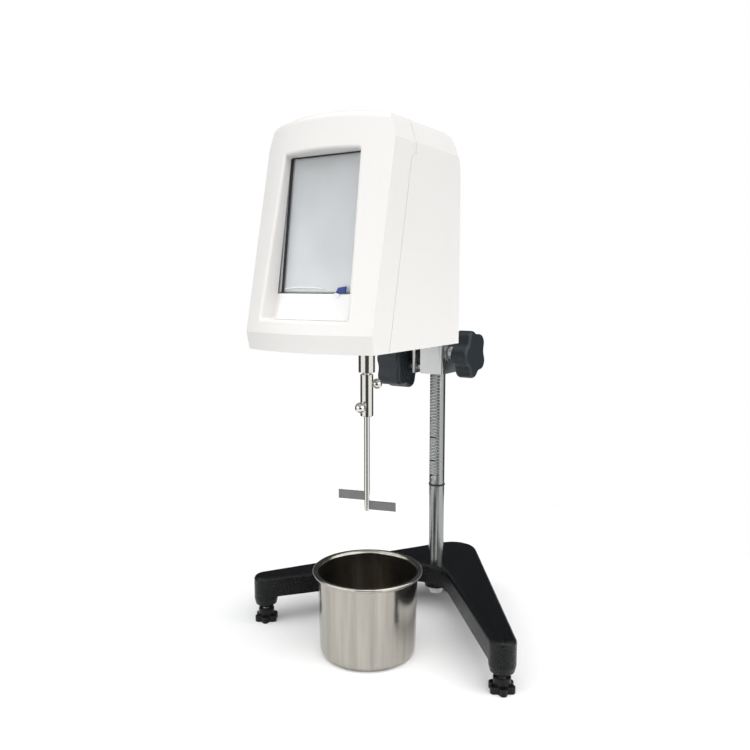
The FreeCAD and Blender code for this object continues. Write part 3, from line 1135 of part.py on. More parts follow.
def make_cup():
    z1 = CUP_HEIGHT - CUP_BEAD_R
    rim_r = CUP_TOP_R + CUP_RIM_REACH - CUP_BEAD_R
    bottom = CUP_CORNER_R
    w = CUP_WALL

    def at(r, z):
        return Vector(r, 0, z)

    def corner(r, z, radius):
        s = radius * (1 - math.sqrt(0.5))
        return Part.Arc(at(r - radius, z), at(r - s, z + s), at(r, z + radius)).toShape()

    neck = z1 - 4.0
    outer_r = CUP_TOP_R
    edges = [Part.LineSegment(at(0, 0), at(CUP_BOTTOM_R - bottom, 0)).toShape(), corner(CUP_BOTTOM_R, 0, bottom),
             Part.LineSegment(at(CUP_BOTTOM_R, bottom), at(outer_r, neck)).toShape()]
    flare = 4.0
    s = flare * (1 - math.sqrt(0.5))
    lip = at(rim_r - 0.6, z1 - CUP_BEAD_R + 0.15)
    edges.append(Part.Arc(at(outer_r, neck), at(outer_r + s, neck + flare - s - 1.2), lip).toShape())
    edges.append(Part.Arc(lip, at(rim_r + CUP_BEAD_R, z1), at(rim_r, z1 + CUP_BEAD_R)).toShape())
    inner_r = outer_r - w
    edges.append(Part.Arc(at(rim_r, z1 + CUP_BEAD_R), at(inner_r + s + 0.6, z1 + CUP_BEAD_R - s),
                          at(inner_r, neck + 0.5)).toShape())
    edges.append(Part.LineSegment(at(inner_r, neck + 0.5), at(CUP_BOTTOM_R - w, bottom)).toShape())
    r = bottom - w
    s = r * (1 - math.sqrt(0.5))
    edges.append(Part.Arc(at(CUP_BOTTOM_R - w, bottom), at(CUP_BOTTOM_R - w - s, w + s), at(CUP_BOTTOM_R - bottom, w)).toShape())
    edges.append(Part.LineSegment(at(CUP_BOTTOM_R - bottom, w), at(0, w)).toShape())
    edges.append(Part.LineSegment(at(0, w), at(0, 0)).toShape())
    cup = Part.Face(Part.Wire(edges)).revolve(Vector(0, 0, 0), Vector(0, 0, 1), 360)
    cup.translate(Vector(CUP_X, CUP_Y, 0))
    put("cup", cup)


def build():
    make_base()
    for side in FEET:
        make_foot(side)
    make_post()
    make_block()
    make_pinion()
    make_pinion_shaft()
    make_knobs()
    make_arm()
    make_covers()
    make_chassis()
    make_display()
    make_spindle_housing()
    make_spindle()
    make_drive()
    make_sensors()
    make_back()
    make_cup()
    os.makedirs("parts", exist_ok=True)
    for name, shape in PARTS.items():
        moved = shape.copy()
        moved.translate(Vector(0, -ORIGIN_Y, 0))
        moved.exportStep("parts/" + name + ".step")
        state = "ok" if shape.isValid() and shape.Solids else "CHECK"
        print(f"{name}: {len(shape.Solids)} solid(s), {shape.Volume / 1000:.1f} cm3, {state}")


build()
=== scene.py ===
"""Stormer viscometer: finishes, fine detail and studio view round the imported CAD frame."""

import math

import bmesh
import bpy
from mathutils import Matrix, Vector


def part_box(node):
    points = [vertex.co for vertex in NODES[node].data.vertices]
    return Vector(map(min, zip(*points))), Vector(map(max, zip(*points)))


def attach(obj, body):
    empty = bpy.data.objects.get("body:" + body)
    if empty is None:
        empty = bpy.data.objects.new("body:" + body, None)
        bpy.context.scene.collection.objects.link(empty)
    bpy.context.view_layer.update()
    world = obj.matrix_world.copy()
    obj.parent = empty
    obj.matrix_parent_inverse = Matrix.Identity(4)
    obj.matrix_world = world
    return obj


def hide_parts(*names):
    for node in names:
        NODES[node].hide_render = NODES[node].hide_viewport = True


bl_info = {
    "name": "Stormer viscometer",
    "version": (1, 0, 0),
    "blender": (4, 5, 0),
    "location": "View3D > Sidebar > Viscometer",
    "description": "Dresses the viscometer's frame with its finishes and fine detail",
    "category": "Object",
}

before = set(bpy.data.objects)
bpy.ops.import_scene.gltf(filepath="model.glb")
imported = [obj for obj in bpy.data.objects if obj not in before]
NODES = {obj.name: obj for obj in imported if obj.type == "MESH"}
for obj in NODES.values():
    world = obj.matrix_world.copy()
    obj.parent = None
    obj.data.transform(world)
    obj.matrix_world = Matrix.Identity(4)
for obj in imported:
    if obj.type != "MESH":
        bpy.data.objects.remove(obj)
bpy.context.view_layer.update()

MM = 0.001
WELD = 1e-6
ORIGIN = (0, 0, 0)


def middle(node):
    """Centre of a CAD node's box."""
    low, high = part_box(node)
    return (low + high) / 2


SPINDLE = middle("drive_spindle")
POST = middle("post")
CUP = middle("cup")
STAR_TOP = 13.4 * MM
SIDES = ("left", "right", "rear")


# ---------- sizes and colours a user would change ----------


def colour_property(name, description, default):
    return bpy.props.FloatVectorProperty(
        name=name, description=description, subtype="COLOR", size=3, default=default
    )


def length_property(name, description, default):
    return bpy.props.FloatProperty(name=name, description=description, unit="LENGTH", default=default)


def strength_property(name, description, default):
    return bpy.props.FloatProperty(name=name, description=description, default=default)


class ViscometerLook(bpy.types.PropertyGroup):
    cover_colour: colour_property("Cover", "Moulded covers of the head", (0.80, 0.785, 0.765))
    paint_colour: colour_property("Base paint", "Hammered paint of the base", (0.0032, 0.0036, 0.0040))
    knob_colour: colour_property("Knobs", "Moulded hand knobs", (0.011, 0.016, 0.020))
    screen_colour: colour_property("Screen", "Unlit screen", (0.58, 0.60, 0.61))
    tab_colour: colour_property("Film tab", "Pull tab of the screen film", (0.02, 0.05, 0.24))
    # Partly printed border, partly painted shadow: the left border is drawn wider to cover the shade along the
    # window's left edge.
    border_and_shadow_left: length_property("Border at the left", "Black border at the window's left side", 2.6 * MM)
    border_right: length_property("Border at the right", "Black border at the window's right side", 1.0 * MM)
    border_top: length_property("Border at the top", "Black border under the window's top", 1.1 * MM)
    thread_pitch: length_property("Foot thread pitch", "Pitch of the levelling screws", 1.25 * MM)


class StudioLook(bpy.types.PropertyGroup):
    lens: bpy.props.FloatProperty(
        name="Lens", description="Focal length on a 36 mm sensor", subtype="DISTANCE_CAMERA", default=35.877
    )
    table_radius: length_property("Table", "Radius of the round white table top", 0.5)
    table_colour: colour_property("Table colour", "Plain pale floor", (0.98, 0.98, 0.98))
    sky: strength_property("Sky", "Strength of the overhead diffuser", 0.9)
    front: strength_property("Front", "Strength of the front diffuser", 1.6)
    side: strength_property("Side", "Strength of the side diffuser", 2.4)
    panel: strength_property("Panels", "Brightness of the two standing light panels", 1.15)
    room: strength_property("Room", "Brightness of the room round the table", 0.08)


# ---------- materials ----------


class Socket:
    """A shader value; Python operators add Math nodes to its tree."""

    def __init__(self, shader, link):
        self.shader = shader
        self.link = link

    def _math(self, operation, a, b):
        return self.shader.node("ShaderNodeMath", {"operation": operation}, {0: a, 1: b})

    def __add__(self, other):
        return self._math("ADD", self, other)

    __radd__ = __add__

    def __mul__(self, other):
        return self._math("MULTIPLY", self, other)

    __rmul__ = __mul__

    def __sub__(self, other):
        return self._math("SUBTRACT", self, other)

    def __rsub__(self, other):
        return self._math("SUBTRACT", other, self)

    def clamp(self):
        return self.shader.node("ShaderNodeMath", {"operation": "ADD", "use_clamp": True}, {0: self, 1: 0.0})


class Finish:
    """One material: a principled shader, and the nodes that vary it."""

    def __init__(self, name, **fixed):
        self.material = bpy.data.materials.new(name)
        self.material.use_nodes = True
        self.tree = self.material.node_tree
        self.tree.nodes.clear()
        self.bsdf = self.tree.nodes.new("ShaderNodeBsdfPrincipled")
        output = self.tree.nodes.new("ShaderNodeOutputMaterial")
        self.tree.links.new(self.bsdf.outputs[0], output.inputs[0])
        for socket, value in fixed.items():
            self.set(socket.replace("_", " "), value)

    def put(self, socket, value):
        """Links or sets a socket; a colour of three parts gets its alpha."""
        if isinstance(value, Socket):
            self.tree.links.new(value.link, socket)
        elif hasattr(value, "__len__") and len(value) == 3 and socket.type == "RGBA":
            socket.default_value = (*value, 1.0)
        else:
            socket.default_value = value

    def set(self, name, value):
        """Links or sets an input of the principled shader."""
        self.put(self.bsdf.inputs[name], value)

    def node(self, kind, settings=None, inputs=None, output=0):
        """New node with its settings and inputs; one of its outputs comes back."""
        made = self.tree.nodes.new(kind)
        for key, value in (settings or {}).items():
            setattr(made, key, value)
        for key, value in (inputs or {}).items():
            self.put(made.inputs[key], value)
        return Socket(self, made.outputs[output])

    def place(self, scale=(1, 1, 1), turn=(0, 0, 0)):
        """Object coordinates, turned and stretched."""
        at = self.node("ShaderNodeTexCoord", output=3)
        return self.node("ShaderNodeMapping", {"vector_type": "POINT"}, {0: at, 2: turn, 3: scale})

    def along(self, axis):
        """One of the object coordinates."""
        return self.node("ShaderNodeSeparateXYZ", {}, {0: self.place()}, output=axis)

    def noise(self, size, detail=2.0, stretch=(1, 1, 1), rough=0.5):
        """Noise whose grains are a given size in metres."""
        scaled = self.place(scale=tuple(s / size for s in stretch))
        return self.node(
            "ShaderNodeTexNoise", {}, {"Vector": scaled, "Scale": 1.0, "Detail": detail, "Roughness": rough}
        )

    def mix(self, share, a, b):
        """Colour a to colour b by a share."""
        made = self.tree.nodes.new("ShaderNodeMix")
        made.data_type = "RGBA"
        self.put(made.inputs[0], share)
        self.put(made.inputs[6], a)
        self.put(made.inputs[7], b)
        return Socket(self, made.outputs[2])

    def bump(self, height, depth, strength=1.0):
        """Surface relief of a depth in metres."""
        relief = {"Strength": strength, "Distance": depth, "Height": height}
        self.set("Normal", self.node("ShaderNodeBump", {}, relief))


def shade(colour, factor):
    """The colour made darker or lighter."""
    return tuple(min(1.0, c * factor) for c in colour)


def moulded(name, colour, grain, depth, roughness, spread, fresh, gloss):
    """Moulded plastic with a spark-eroded grain and a faint uneven tone."""
    f = Finish(name, Specular_IOR_Level=gloss)
    tone = f.noise(40 * MM, 3.0)
    f.set("Base Color", f.mix(tone, shade(colour, 1 - fresh), shade(colour, 1 + fresh)))
    f.set("Roughness", f.noise(3 * MM, 3.0) * (2 * spread) + (roughness - spread))
    f.bump(f.noise(grain, 2.0), depth)
    return f.material


def textured_paint(colour, cell=2.0 * MM, wrinkle=0.9 * MM, glint_grain=1.4 * MM, depth=0.5 * MM):
    """Black hammered paint: blunt wrinkles under a satin gloss, with painted glints: small lighter spots in
    its colour.
    """
    f = Finish("base_paint", Specular_IOR_Level=0.2)
    cells = f.node(
        "ShaderNodeTexVoronoi",
        {"feature": "SMOOTH_F1"},
        {"Vector": f.place((1 / cell,) * 3), "Scale": 1.0, "Smoothness": 0.6},
    )
    relief = cells * 0.7 + f.noise(wrinkle, 3.0) * 0.6
    # Painted glints: small lighter spots painted into the colour where the wrinkles would catch the light.
    painted_glints = ((f.noise(glint_grain, 3.0) - 0.52) * 5).clamp()
    f.set("Base Color", f.mix(painted_glints, shade(colour, 0.7), shade(colour, 5)))
    f.set("Roughness", f.noise(1.6 * MM, 2.0) * 0.16 + 0.14)
    f.bump(relief, depth)
    return f.material


def metal(name, colour, roughness, line, stretch, depth, spread, grime):
    """Metal with tool lines along one direction and a faint tarnish."""
    f = Finish(name, Metallic=1.0)
    lines = f.noise(line, 3.0, stretch, 0.6)
    tarnish = f.noise(9 * MM, 3.0)
    f.set("Base Color", f.mix(tarnish, shade(colour, 1 - grime), colour))
    f.set("Roughness", lines * (2 * spread) + (roughness - spread))
    f.bump(lines, depth, 0.6)
    return f.material


def spun_metal(name, colour, roughness, pitch, depth, spread):
    """Metal with rings round the upright, as a spinning chuck leaves them, and upright streaks painted into
    its colour as reflection bands.
    """
    f = Finish(name, Metallic=1.0)
    lines = f.noise(pitch, 2.0, (0.02, 0.02, 1.0), 0.5)
    streaks = f.noise(9 * MM, 4.0, (1, 1, 0.04), 0.6)
    # Painted reflections: upright bands that lighten and darken the colour where the spun surface would mirror
    # light and dark.
    painted_reflection_bands = ((streaks - 0.3) * 2.5).clamp()
    f.set("Base Color", f.mix(painted_reflection_bands, shade(colour, 0.72), shade(colour, 1.08)))
    f.set("Roughness", lines * (2 * spread) + (roughness - spread) + streaks * 0.06)
    f.bump(lines, depth, 0.5)
    return f.material


def dark_screen(colour, shadow_start=-33 * MM, shadow_width=10 * MM):
    """Unlit liquid-crystal screen: grey and faintly clouded, with painted light that makes it lighter low down
    and a painted shadow of the recess wall that darkens its left edge.
    """
    low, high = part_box("display_panel")
    f = Finish("screen", Roughness=0.32, Specular_IOR_Level=0.5, Coat_Weight=0.6, Coat_Roughness=0.06)
    # Painted light: lighter towards the bottom; painted shadow of the recess wall along the left edge.
    rise = ((f.along(2) - low.z) * (1.0 / (high.z - low.z))).clamp()
    inner = ((f.along(0) - shadow_start) * (1 / shadow_width)).clamp()
    cloud = f.noise(30 * MM, 3.0, (1, 1, 0.5))
    blend = (((1 - rise) * 0.55 + cloud * 0.6) * (inner * 0.5 + 0.5)).clamp()
    f.set("Base Color", f.mix(blend, shade(colour, 0.66), shade(colour, 1.22)))
    return f.material


def clear_glass():
    """Cover glass with a faint unevenness in its gloss."""
    f = Finish("cover_glass", Base_Color=(0.75, 0.78, 0.80), Specular_IOR_Level=0.5, Alpha=0.12)
    f.set("Roughness", f.noise(12 * MM, 3.0) * 0.05 + 0.02)
    f.material.surface_render_method = "BLENDED"
    return f.material


def circuit_board(colour, tracks_per_metre=90):
    """Solder-masked board with lighter copper tracks."""
    f = Finish("circuit_board", Specular_IOR_Level=0.5)
    upright = f.place((tracks_per_metre,) * 3, turn=(math.pi / 2, 0, 0))
    brick = f.node(
        "ShaderNodeTexBrick",
        {"offset": 0.5},
        {"Vector": upright, "Scale": 1.0, "Mortar Size": 0.03, "Mortar Smooth": 0.2},
        output=1,
    )
    f.set("Base Color", f.mix(brick, colour, shade(colour, 1.8)))
    f.set("Roughness", f.noise(2 * MM) * 0.2 + 0.3)
    f.bump(brick, 0.03 * MM, 0.5)
    return f.material


def plastics(look):
    """Moulded finishes: colour, size and depth of the grain, roughness and how far it varies."""
    rows = {
        "cover": ("cover_plastic", look.cover_colour, 0.45, 0.025, 0.42, 0.05, 0.015, 0.45),
        "knob": ("knob_plastic", look.knob_colour, 0.5, 0.05, 0.46, 0.08, 0.2, 0.4),
        "foot": ("foot_plastic", (0.005, 0.005, 0.0055), 0.4, 0.04, 0.34, 0.08, 0.2, 0.2),
        "dark": ("dark_plastic", (0.02, 0.02, 0.021), 0.4, 0.03, 0.38, 0.06, 0.2, 0.45),
        "rubber": ("ring_rubber", (0.012, 0.012, 0.012), 0.6, 0.05, 0.62, 0.08, 0.2, 0.45),
        "arm": ("arm_paint", (0.66, 0.65, 0.61), 0.5, 0.03, 0.38, 0.05, 0.03, 0.45),
        "motor": ("motor_case", (0.02, 0.02, 0.022), 0.5, 0.03, 0.35, 0.04, 0.04, 0.45),
        "label": ("label_film", (0.84, 0.84, 0.84), 2.0, 0.01, 0.25, 0.03, 0.01, 0.45),
        "border": ("screen_border", (0.006, 0.006, 0.007), 1.0, 0.005, 0.2, 0.04, 0.04, 0.45),
        "tab": ("film_tab", look.tab_colour, 1.0, 0.02, 0.3, 0.03, 0.1, 0.45),
    }
    return {
        key: moulded(name, colour, grain * MM, depth * MM, roughness, spread, fresh, gloss)
        for key, (name, colour, grain, depth, roughness, spread, fresh, gloss) in rows.items()
    }


def metals():
    """Machined finishes: colour, roughness, size and direction of the tool lines, depth, variation."""
    rows = {
        "post": ("ground_post", (0.31, 0.32, 0.32), 0.24, 0.35, (1, 1, 0.015), 0.012, 0.08, 0.08),
        "block": ("machined_block", (0.50, 0.51, 0.51), 0.4, 0.22, (0.04, 1, 1), 0.012, 0.07, 0.08),
        "polished": ("polished_nickel", (0.66, 0.64, 0.60), 0.1, 1.2, (1, 1, 0.08), 0.001, 0.03, 0.08),
        "steel": ("bright_steel", (0.55, 0.55, 0.55), 0.3, 0.4, (1, 1, 0.3), 0.01, 0.08, 0.1),
        "sheet": ("plain_sheet", (0.58, 0.58, 0.58), 0.42, 0.5, (1, 0.06, 0.06), 0.01, 0.08, 0.1),
        "brass": ("turned_brass", (0.56, 0.40, 0.16), 0.3, 0.3, (1, 0.2, 0.2), 0.01, 0.08, 0.1),
        "blade": ("blade_steel", (0.22, 0.22, 0.22), 0.5, 0.6, (0.08, 0.08, 1), 0.01, 0.1, 0.25),
    }
    return {
        key: metal(name, colour, roughness, line * MM, stretch, depth * MM, spread, grime)
        for key, (name, colour, roughness, line, stretch, depth, spread, grime) in rows.items()
    }


def make_materials(look):
    """Every finish by its key."""
    # The film edge's colour is a painted highlight: near white and mostly opaque, standing for the light its
    # real clear edge catches.
    film = Finish("film_edge_highlight", Base_Color=(0.95, 0.95, 0.95), Roughness=0.2, Alpha=0.8)
    return {
        **plastics(look),
        **metals(),
        "paint": textured_paint(look.paint_colour),
        "cup": spun_metal("spun_cup", (0.44, 0.418, 0.375), 0.16, 0.6 * MM, 0.0008 * MM, 0.03),
        "board": circuit_board((0.01, 0.09, 0.03)),
        "screen": dark_screen(look.screen_colour),
        "glass": clear_glass(),
        "film": film.material,
    }


FINISH_OF = {
    "cover": ("front_cover", "rear_cover"),
    "knob": ("lift_knob", "lock_knob"),
    "foot": ("foot_star_left", "foot_star_right", "foot_star_rear"),
    "dark": ("power_inlet", "switch_frame", "switch_rocker", "optical_sensors", "power_supply"),
    "rubber": ("stop_ring",),
    "paint": ("base_casting",),
    "arm": ("arm_bracket",),
    "post": ("post",),
    "block": ("clamp_block", "pinion_bush"),
    "polished": (
        "coupling_sleeve", "rotor_rod", "thumb_screw_upper", "thumb_screw_lower",
        "foot_stud_left", "foot_stud_right", "foot_stud_rear", "spindle_housing",
    ),
    "steel": (
        "post_bolt", "post_washer", "arm_head_screws", "arm_block_screws", "deck_screws", "pillar_screws",
        "cover_screws", "pinion", "pinion_shaft", "lock_screw", "drive_spindle", "motor_shaft",
        "deck_pillars", "bearing_lower", "bearing_upper",
    ),
    "sheet": (
        "chassis_plate", "chassis_upright", "motor_deck", "display_frame", "driven_disc", "drive_disc",
        "bearing_spacer", "sensor_bracket", "data_port",
    ),
    "brass": ("board_spacers", "torsion_spring"),
    "blade": ("paddle_blade_upper", "paddle_blade_lower"),
    "cup": ("cup",),
    "motor": ("motor",),
    "board": ("control_board",),
    "screen": ("display_panel",),
    "glass": ("touch_glass",),
    "label": ("label_plate",),
}
FINISHES = {}


# ---------- shapes ----------


def finish_piece(name, work, finish, body, smooth=True, crisp=None, replaces=()):
    """Mesh object from a bmesh, at the origin, riding on a body; edges over crisp degrees stay sharp."""
    bmesh.ops.remove_doubles(work, verts=work.verts, dist=WELD)
    bmesh.ops.recalc_face_normals(work, faces=work.faces)
    mesh = bpy.data.meshes.new(name)
    work.to_mesh(mesh)
    work.free()
    if smooth:
        mesh.shade_smooth()
    if crisp:
        mesh.set_sharp_from_angle(angle=math.radians(crisp))
    piece = bpy.data.objects.new(name, mesh)
    bpy.context.scene.collection.objects.link(piece)
    piece.data.materials.append(FINISHES[finish])
    if crisp:
        piece.modifiers.new("even_shading", "WEIGHTED_NORMAL").keep_sharp = True
    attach(piece, body)
    if replaces:
        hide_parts(*replaces)


def turn_all(work, degrees, axis):
    """Turns a whole bmesh about the origin."""
    turn = Matrix.Rotation(math.radians(degrees), 3, axis)
    bmesh.ops.rotate(work, verts=work.verts, cent=ORIGIN, matrix=turn)


def extrude_up(work, face, height):
    """Prism on a face that keeps its own bottom; the edges of both ends come back."""
    made = bmesh.ops.extrude_face_region(work, geom=[face], use_keep_orig=True)
    top = [g for g in made["geom"] if isinstance(g, bmesh.types.BMVert)]
    bmesh.ops.translate(work, verts=top, vec=(0, 0, height))
    ends = [g for g in made["geom"] if isinstance(g, bmesh.types.BMFace)] + [face]
    return [e for f in ends for e in f.edges]


def round_off(work, geom, radius, segments, affect="EDGES"):
    """Rounds edges, or the corners of a line of edges."""
    bmesh.ops.bevel(
        work, geom=geom, offset=radius, offset_type="OFFSET", segments=segments, profile=0.5,
        affect=affect, material=-1, clamp_overlap=True,
    )


def lobed_prism(lobes, radius, scallop, height, edge_radius, turn=0.0):
    """Upright knob body: a circle drawn in between its lobes, extruded, with rounded rims."""
    sides, hollow = 120, 1.3
    work = bmesh.new()
    made = bmesh.ops.create_circle(work, cap_ends=True, segments=sides, radius=radius)
    for v in made["verts"]:
        wave = math.cos(lobes * (math.atan2(v.co.y, v.co.x) - turn))
        v.co *= 1 - scallop / radius * (0.5 - 0.5 * wave) ** hollow
    rims = extrude_up(work, made["verts"][0].link_faces[0], height)
    round_off(work, rims, edge_radius, 5)
    return work


def upright_disc(work, radius, low, high, edge_radius):
    """Short round bar along Z with rounded rims."""
    made = bmesh.ops.create_circle(work, cap_ends=True, segments=64, radius=radius)
    bmesh.ops.translate(work, verts=made["verts"], vec=(0, 0, low))
    rims = extrude_up(work, made["verts"][0].link_faces[0], high - low)
    round_off(work, rims, edge_radius, 3)


def spun(profile, centre, steps):
    """Body of revolution from rows of radius, height and corner radius, in mm, spun round an upright."""
    work = bmesh.new()
    verts = [work.verts.new((centre.x + r * MM, centre.y, z * MM)) for r, z, _ in profile]
    for pair in zip(verts, verts[1:]):
        work.edges.new(pair)
    for v, (_, _, corner) in zip(verts, profile):
        if corner:
            round_off(work, [v], corner * MM, 6, "VERTICES")
    bmesh.ops.spin(
        work, geom=work.verts[:] + work.edges[:], cent=(centre.x, centre.y, 0), axis=(0, 0, 1), dvec=ORIGIN,
        angle=2 * math.pi, steps=steps, use_merge=True,
    )
    return work


def trimmed_copy(node, cuts):
    """Merged copy of a CAD node's mesh, cut by planes and closed again."""
    work = bmesh.new()
    work.from_mesh(NODES[node].data)
    bmesh.ops.remove_doubles(work, verts=work.verts, dist=WELD)
    for place, away in cuts:
        part = work.verts[:] + work.edges[:] + work.faces[:]
        cut = bmesh.ops.bisect_plane(work, geom=part, plane_co=place, plane_no=away, clear_outer=True)
        rim = [g for g in cut["geom_cut"] if isinstance(g, bmesh.types.BMEdge)]
        bmesh.ops.triangle_fill(work, edges=rim, use_beauty=True)
    return work


def helix_thread(centre, low, high, inner, outer, pitch):
    """Screw thread: a small tooth profile spun and lifted round an upright."""
    turns = (high - low) / pitch
    foot, crest = pitch * 0.42, pitch * 0.08
    places = [(inner, -foot), (outer, -crest), (outer, crest), (inner, foot)]
    work = bmesh.new()
    verts = [work.verts.new(centre + Vector((r, 0, low + pitch / 2 + z))) for r, z in places]
    edges = [work.edges.new(pair) for pair in zip(verts, verts[1:])]
    steps = int(24 * turns)
    bmesh.ops.spin(
        work, geom=verts + edges, cent=centre, axis=(0, 0, 1), dvec=(0, 0, (high - low - pitch) / steps),
        angle=2 * math.pi * turns, steps=steps, use_merge=False,
    )
    return work


# ---------- operators, one for each piece or group ----------


class VISCO_OT_finishes(bpy.types.Operator):
    """Gives every CAD node its finish"""

    bl_idname = "visco.finishes"
    bl_label = "Finishes"

    def execute(self, context):
        FINISHES.update(make_materials(context.scene.viscometer))
        for finish, names in FINISH_OF.items():
            for name in names:
                data = NODES[name].data
                data.materials.clear()
                data.materials.append(FINISHES[finish])
        return {"FINISHED"}


class VISCO_OT_hand_knobs(bpy.types.Operator):
    """Five-lobed lift and lock knobs, with the hub between the lift knob and the block"""

    bl_idname = "visco.hand_knobs"
    bl_label = "Hand knobs"

    LOBES = 5
    SCALLOP = 5.0 * MM
    RIM = 3.4 * MM
    LIFT_GAP = 13.0 * MM
    LOCK_GAP = 7.0 * MM
    RINGS = ((13.5 * MM, 0.9 * MM), (9.5 * MM, 1.8 * MM), (6.0 * MM, 3.0 * MM))
    RING_ROOT = 1 * MM
    HUB_RADIUS = 6.4 * MM
    HUB_EDGE = 0.5 * MM
    BUSH_AIR = 0.3 * MM
    KNOB_AIR = 0.1 * MM

    def execute(self, context):
        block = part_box("clamp_block")[1].x
        for name, node, body, axis, radius, thick, gap, turn, side in (
            ("lift_knob_lobed", "lift_knob", "lift_drive", middle("pinion"), 24.5, 18.0, self.LIFT_GAP, 41, 1),
            ("lock_knob_lobed", "lock_knob", "lock", middle("lock_screw"), 25.0, 26.5, self.LOCK_GAP, 5, -1),
        ):
            work = lobed_prism(self.LOBES, radius * MM, self.SCALLOP, thick * MM, self.RIM)
            for ring, reach in self.RINGS:
                upright_disc(work, ring, -reach, self.RING_ROOT, self.HUB_EDGE)
            turn_all(work, 90, "Z")
            turn_all(work, 90, "Y")
            turn_all(work, turn, "X")
            bmesh.ops.scale(work, verts=work.verts, vec=(side, 1, 1))
            bmesh.ops.translate(work, verts=work.verts, vec=(side * (block + gap), axis.y, axis.z))
            finish_piece(name, work, "knob", body, crisp=50, replaces=(node,))
        self.metal_hub(block + self.LIFT_GAP - self.KNOB_AIR)
        return {"FINISHED"}

    def metal_hub(self, end):
        """Steel hub on the pinion shaft that carries the lift knob."""
        axis = middle("pinion")
        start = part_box("pinion_bush")[1].x + self.BUSH_AIR
        work = bmesh.new()
        upright_disc(work, self.HUB_RADIUS, 0, end - start, self.HUB_EDGE)
        turn_all(work, 90, "Y")
        bmesh.ops.translate(work, verts=work.verts, vec=(start, axis.y, axis.z))
        finish_piece("lift_hub", work, "block", "lift_drive", crisp=50)


class VISCO_OT_levelling_knobs(bpy.types.Operator):
    """Star knobs with their collars on the three levelling screws"""

    bl_idname = "visco.levelling_knobs"
    bl_label = "Levelling knobs"

    POINTS = 6
    RADIUS = 12.0 * MM
    SCALLOP = 3.2 * MM
    STAR_HEIGHT = 6.4 * MM
    COLLAR_RADIUS = 7.8 * MM
    COLLAR_LOW = 6.0 * MM
    EDGE = 0.8 * MM
    TURN = math.radians(-58)

    def execute(self, context):
        for side in SIDES:
            axis = middle("foot_stud_" + side)
            work = lobed_prism(self.POINTS, self.RADIUS, self.SCALLOP, self.STAR_HEIGHT, self.EDGE, self.TURN)
            upright_disc(work, self.COLLAR_RADIUS, self.COLLAR_LOW, STAR_TOP, self.EDGE)
            bmesh.ops.translate(work, verts=work.verts, vec=(axis.x, axis.y, 0))
            star = "foot_star_" + side
            finish_piece("foot_knob_" + side, work, "foot", "foot_" + side, crisp=50, replaces=(star,))
        return {"FINISHED"}


class VISCO_OT_stop_ring(bpy.types.Operator):
    """Thin snap ring round the post"""

    bl_idname = "visco.stop_ring"
    bl_label = "Stop ring"

    # In mm.
    BORE = 7.9
    RADIUS = 8.6
    HALF = 1.0
    CORNER = 0.35

    def execute(self, context):
        z = middle("stop_ring").z / MM
        low, high = z - self.HALF, z + self.HALF
        rows = (
            (self.BORE, low, 0),
            (self.RADIUS, low, self.CORNER),
            (self.RADIUS, high, self.CORNER),
            (self.BORE, high, 0),
        )
        finish_piece("snap_ring", spun(rows, POST, 96), "rubber", "stand", crisp=50, replaces=("stop_ring",))
        return {"FINISHED"}


class VISCO_OT_beaker(bpy.types.Operator):
    """Spun steel cup with a rolled bead round its rim"""

    bl_idname = "visco.beaker"
    bl_label = "Cup"

    # In mm.
    WALL = 0.8
    FOOT_RADIUS = 44.8
    NECK_RADIUS = 46.6
    BEAD_RADIUS = 51.3
    MOUTH_RADIUS = 45.9
    BEAD_HEIGHT = 3.3
    FLARE = 0.3
    INNER_TAPER = 0.7
    FOOT_CORNER = 8
    NECK_CORNER = 2.4
    BEAD_CORNER = 1.5
    MOUTH_CORNER = 3.2

    def execute(self, context):
        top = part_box("cup")[1].z / MM
        rows = (
            (0, 0, 0),
            (self.FOOT_RADIUS, 0, self.FOOT_CORNER),
            (self.NECK_RADIUS, top - self.BEAD_HEIGHT - self.FLARE, self.NECK_CORNER),
            (self.BEAD_RADIUS, top - self.BEAD_HEIGHT, self.BEAD_CORNER),
            (self.BEAD_RADIUS, top, self.BEAD_CORNER),
            (self.MOUTH_RADIUS, top, self.MOUTH_CORNER),
            (self.FOOT_RADIUS - self.INNER_TAPER, self.WALL, self.FOOT_CORNER - self.WALL),
            (0, self.WALL, 0),
        )
        finish_piece("cup_spun", spun(rows, CUP, 160), "cup", "cup", crisp=50, replaces=("cup",))
        return {"FINISHED"}


class VISCO_OT_carriage(bpy.types.Operator):
    """Carriage block lowered behind its neck, and the post's top to match"""

    bl_idname = "visco.carriage"
    bl_label = "Carriage and post"

    BODY_HEIGHT = 40 * MM
    NECK_DEPTH = 19.5 * MM
    POST_AIR = Vector((0, 0, 0.3 * MM))

    def execute(self, context):
        up, down, back = (0, 0, 1), (0, 0, -1), (0, 1, 0)
        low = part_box("clamp_block")[0]
        step = Vector((0, low.y + self.NECK_DEPTH, low.z + self.BODY_HEIGHT))
        work = trimmed_copy("clamp_block", [(step, up)])
        neck = trimmed_copy("clamp_block", [(step, down), (step, back)])
        spare = bpy.data.meshes.new("neck")
        neck.to_mesh(spare)
        neck.free()
        work.from_mesh(spare)
        bpy.data.meshes.remove(spare)
        finish_piece("carriage_block", work, "block", "head", crisp=30, replaces=("clamp_block",))
        work = trimmed_copy("post", [(step - self.POST_AIR, up)])
        finish_piece("rack_post", work, "post", "stand", crisp=30, replaces=("post",))
        return {"FINISHED"}


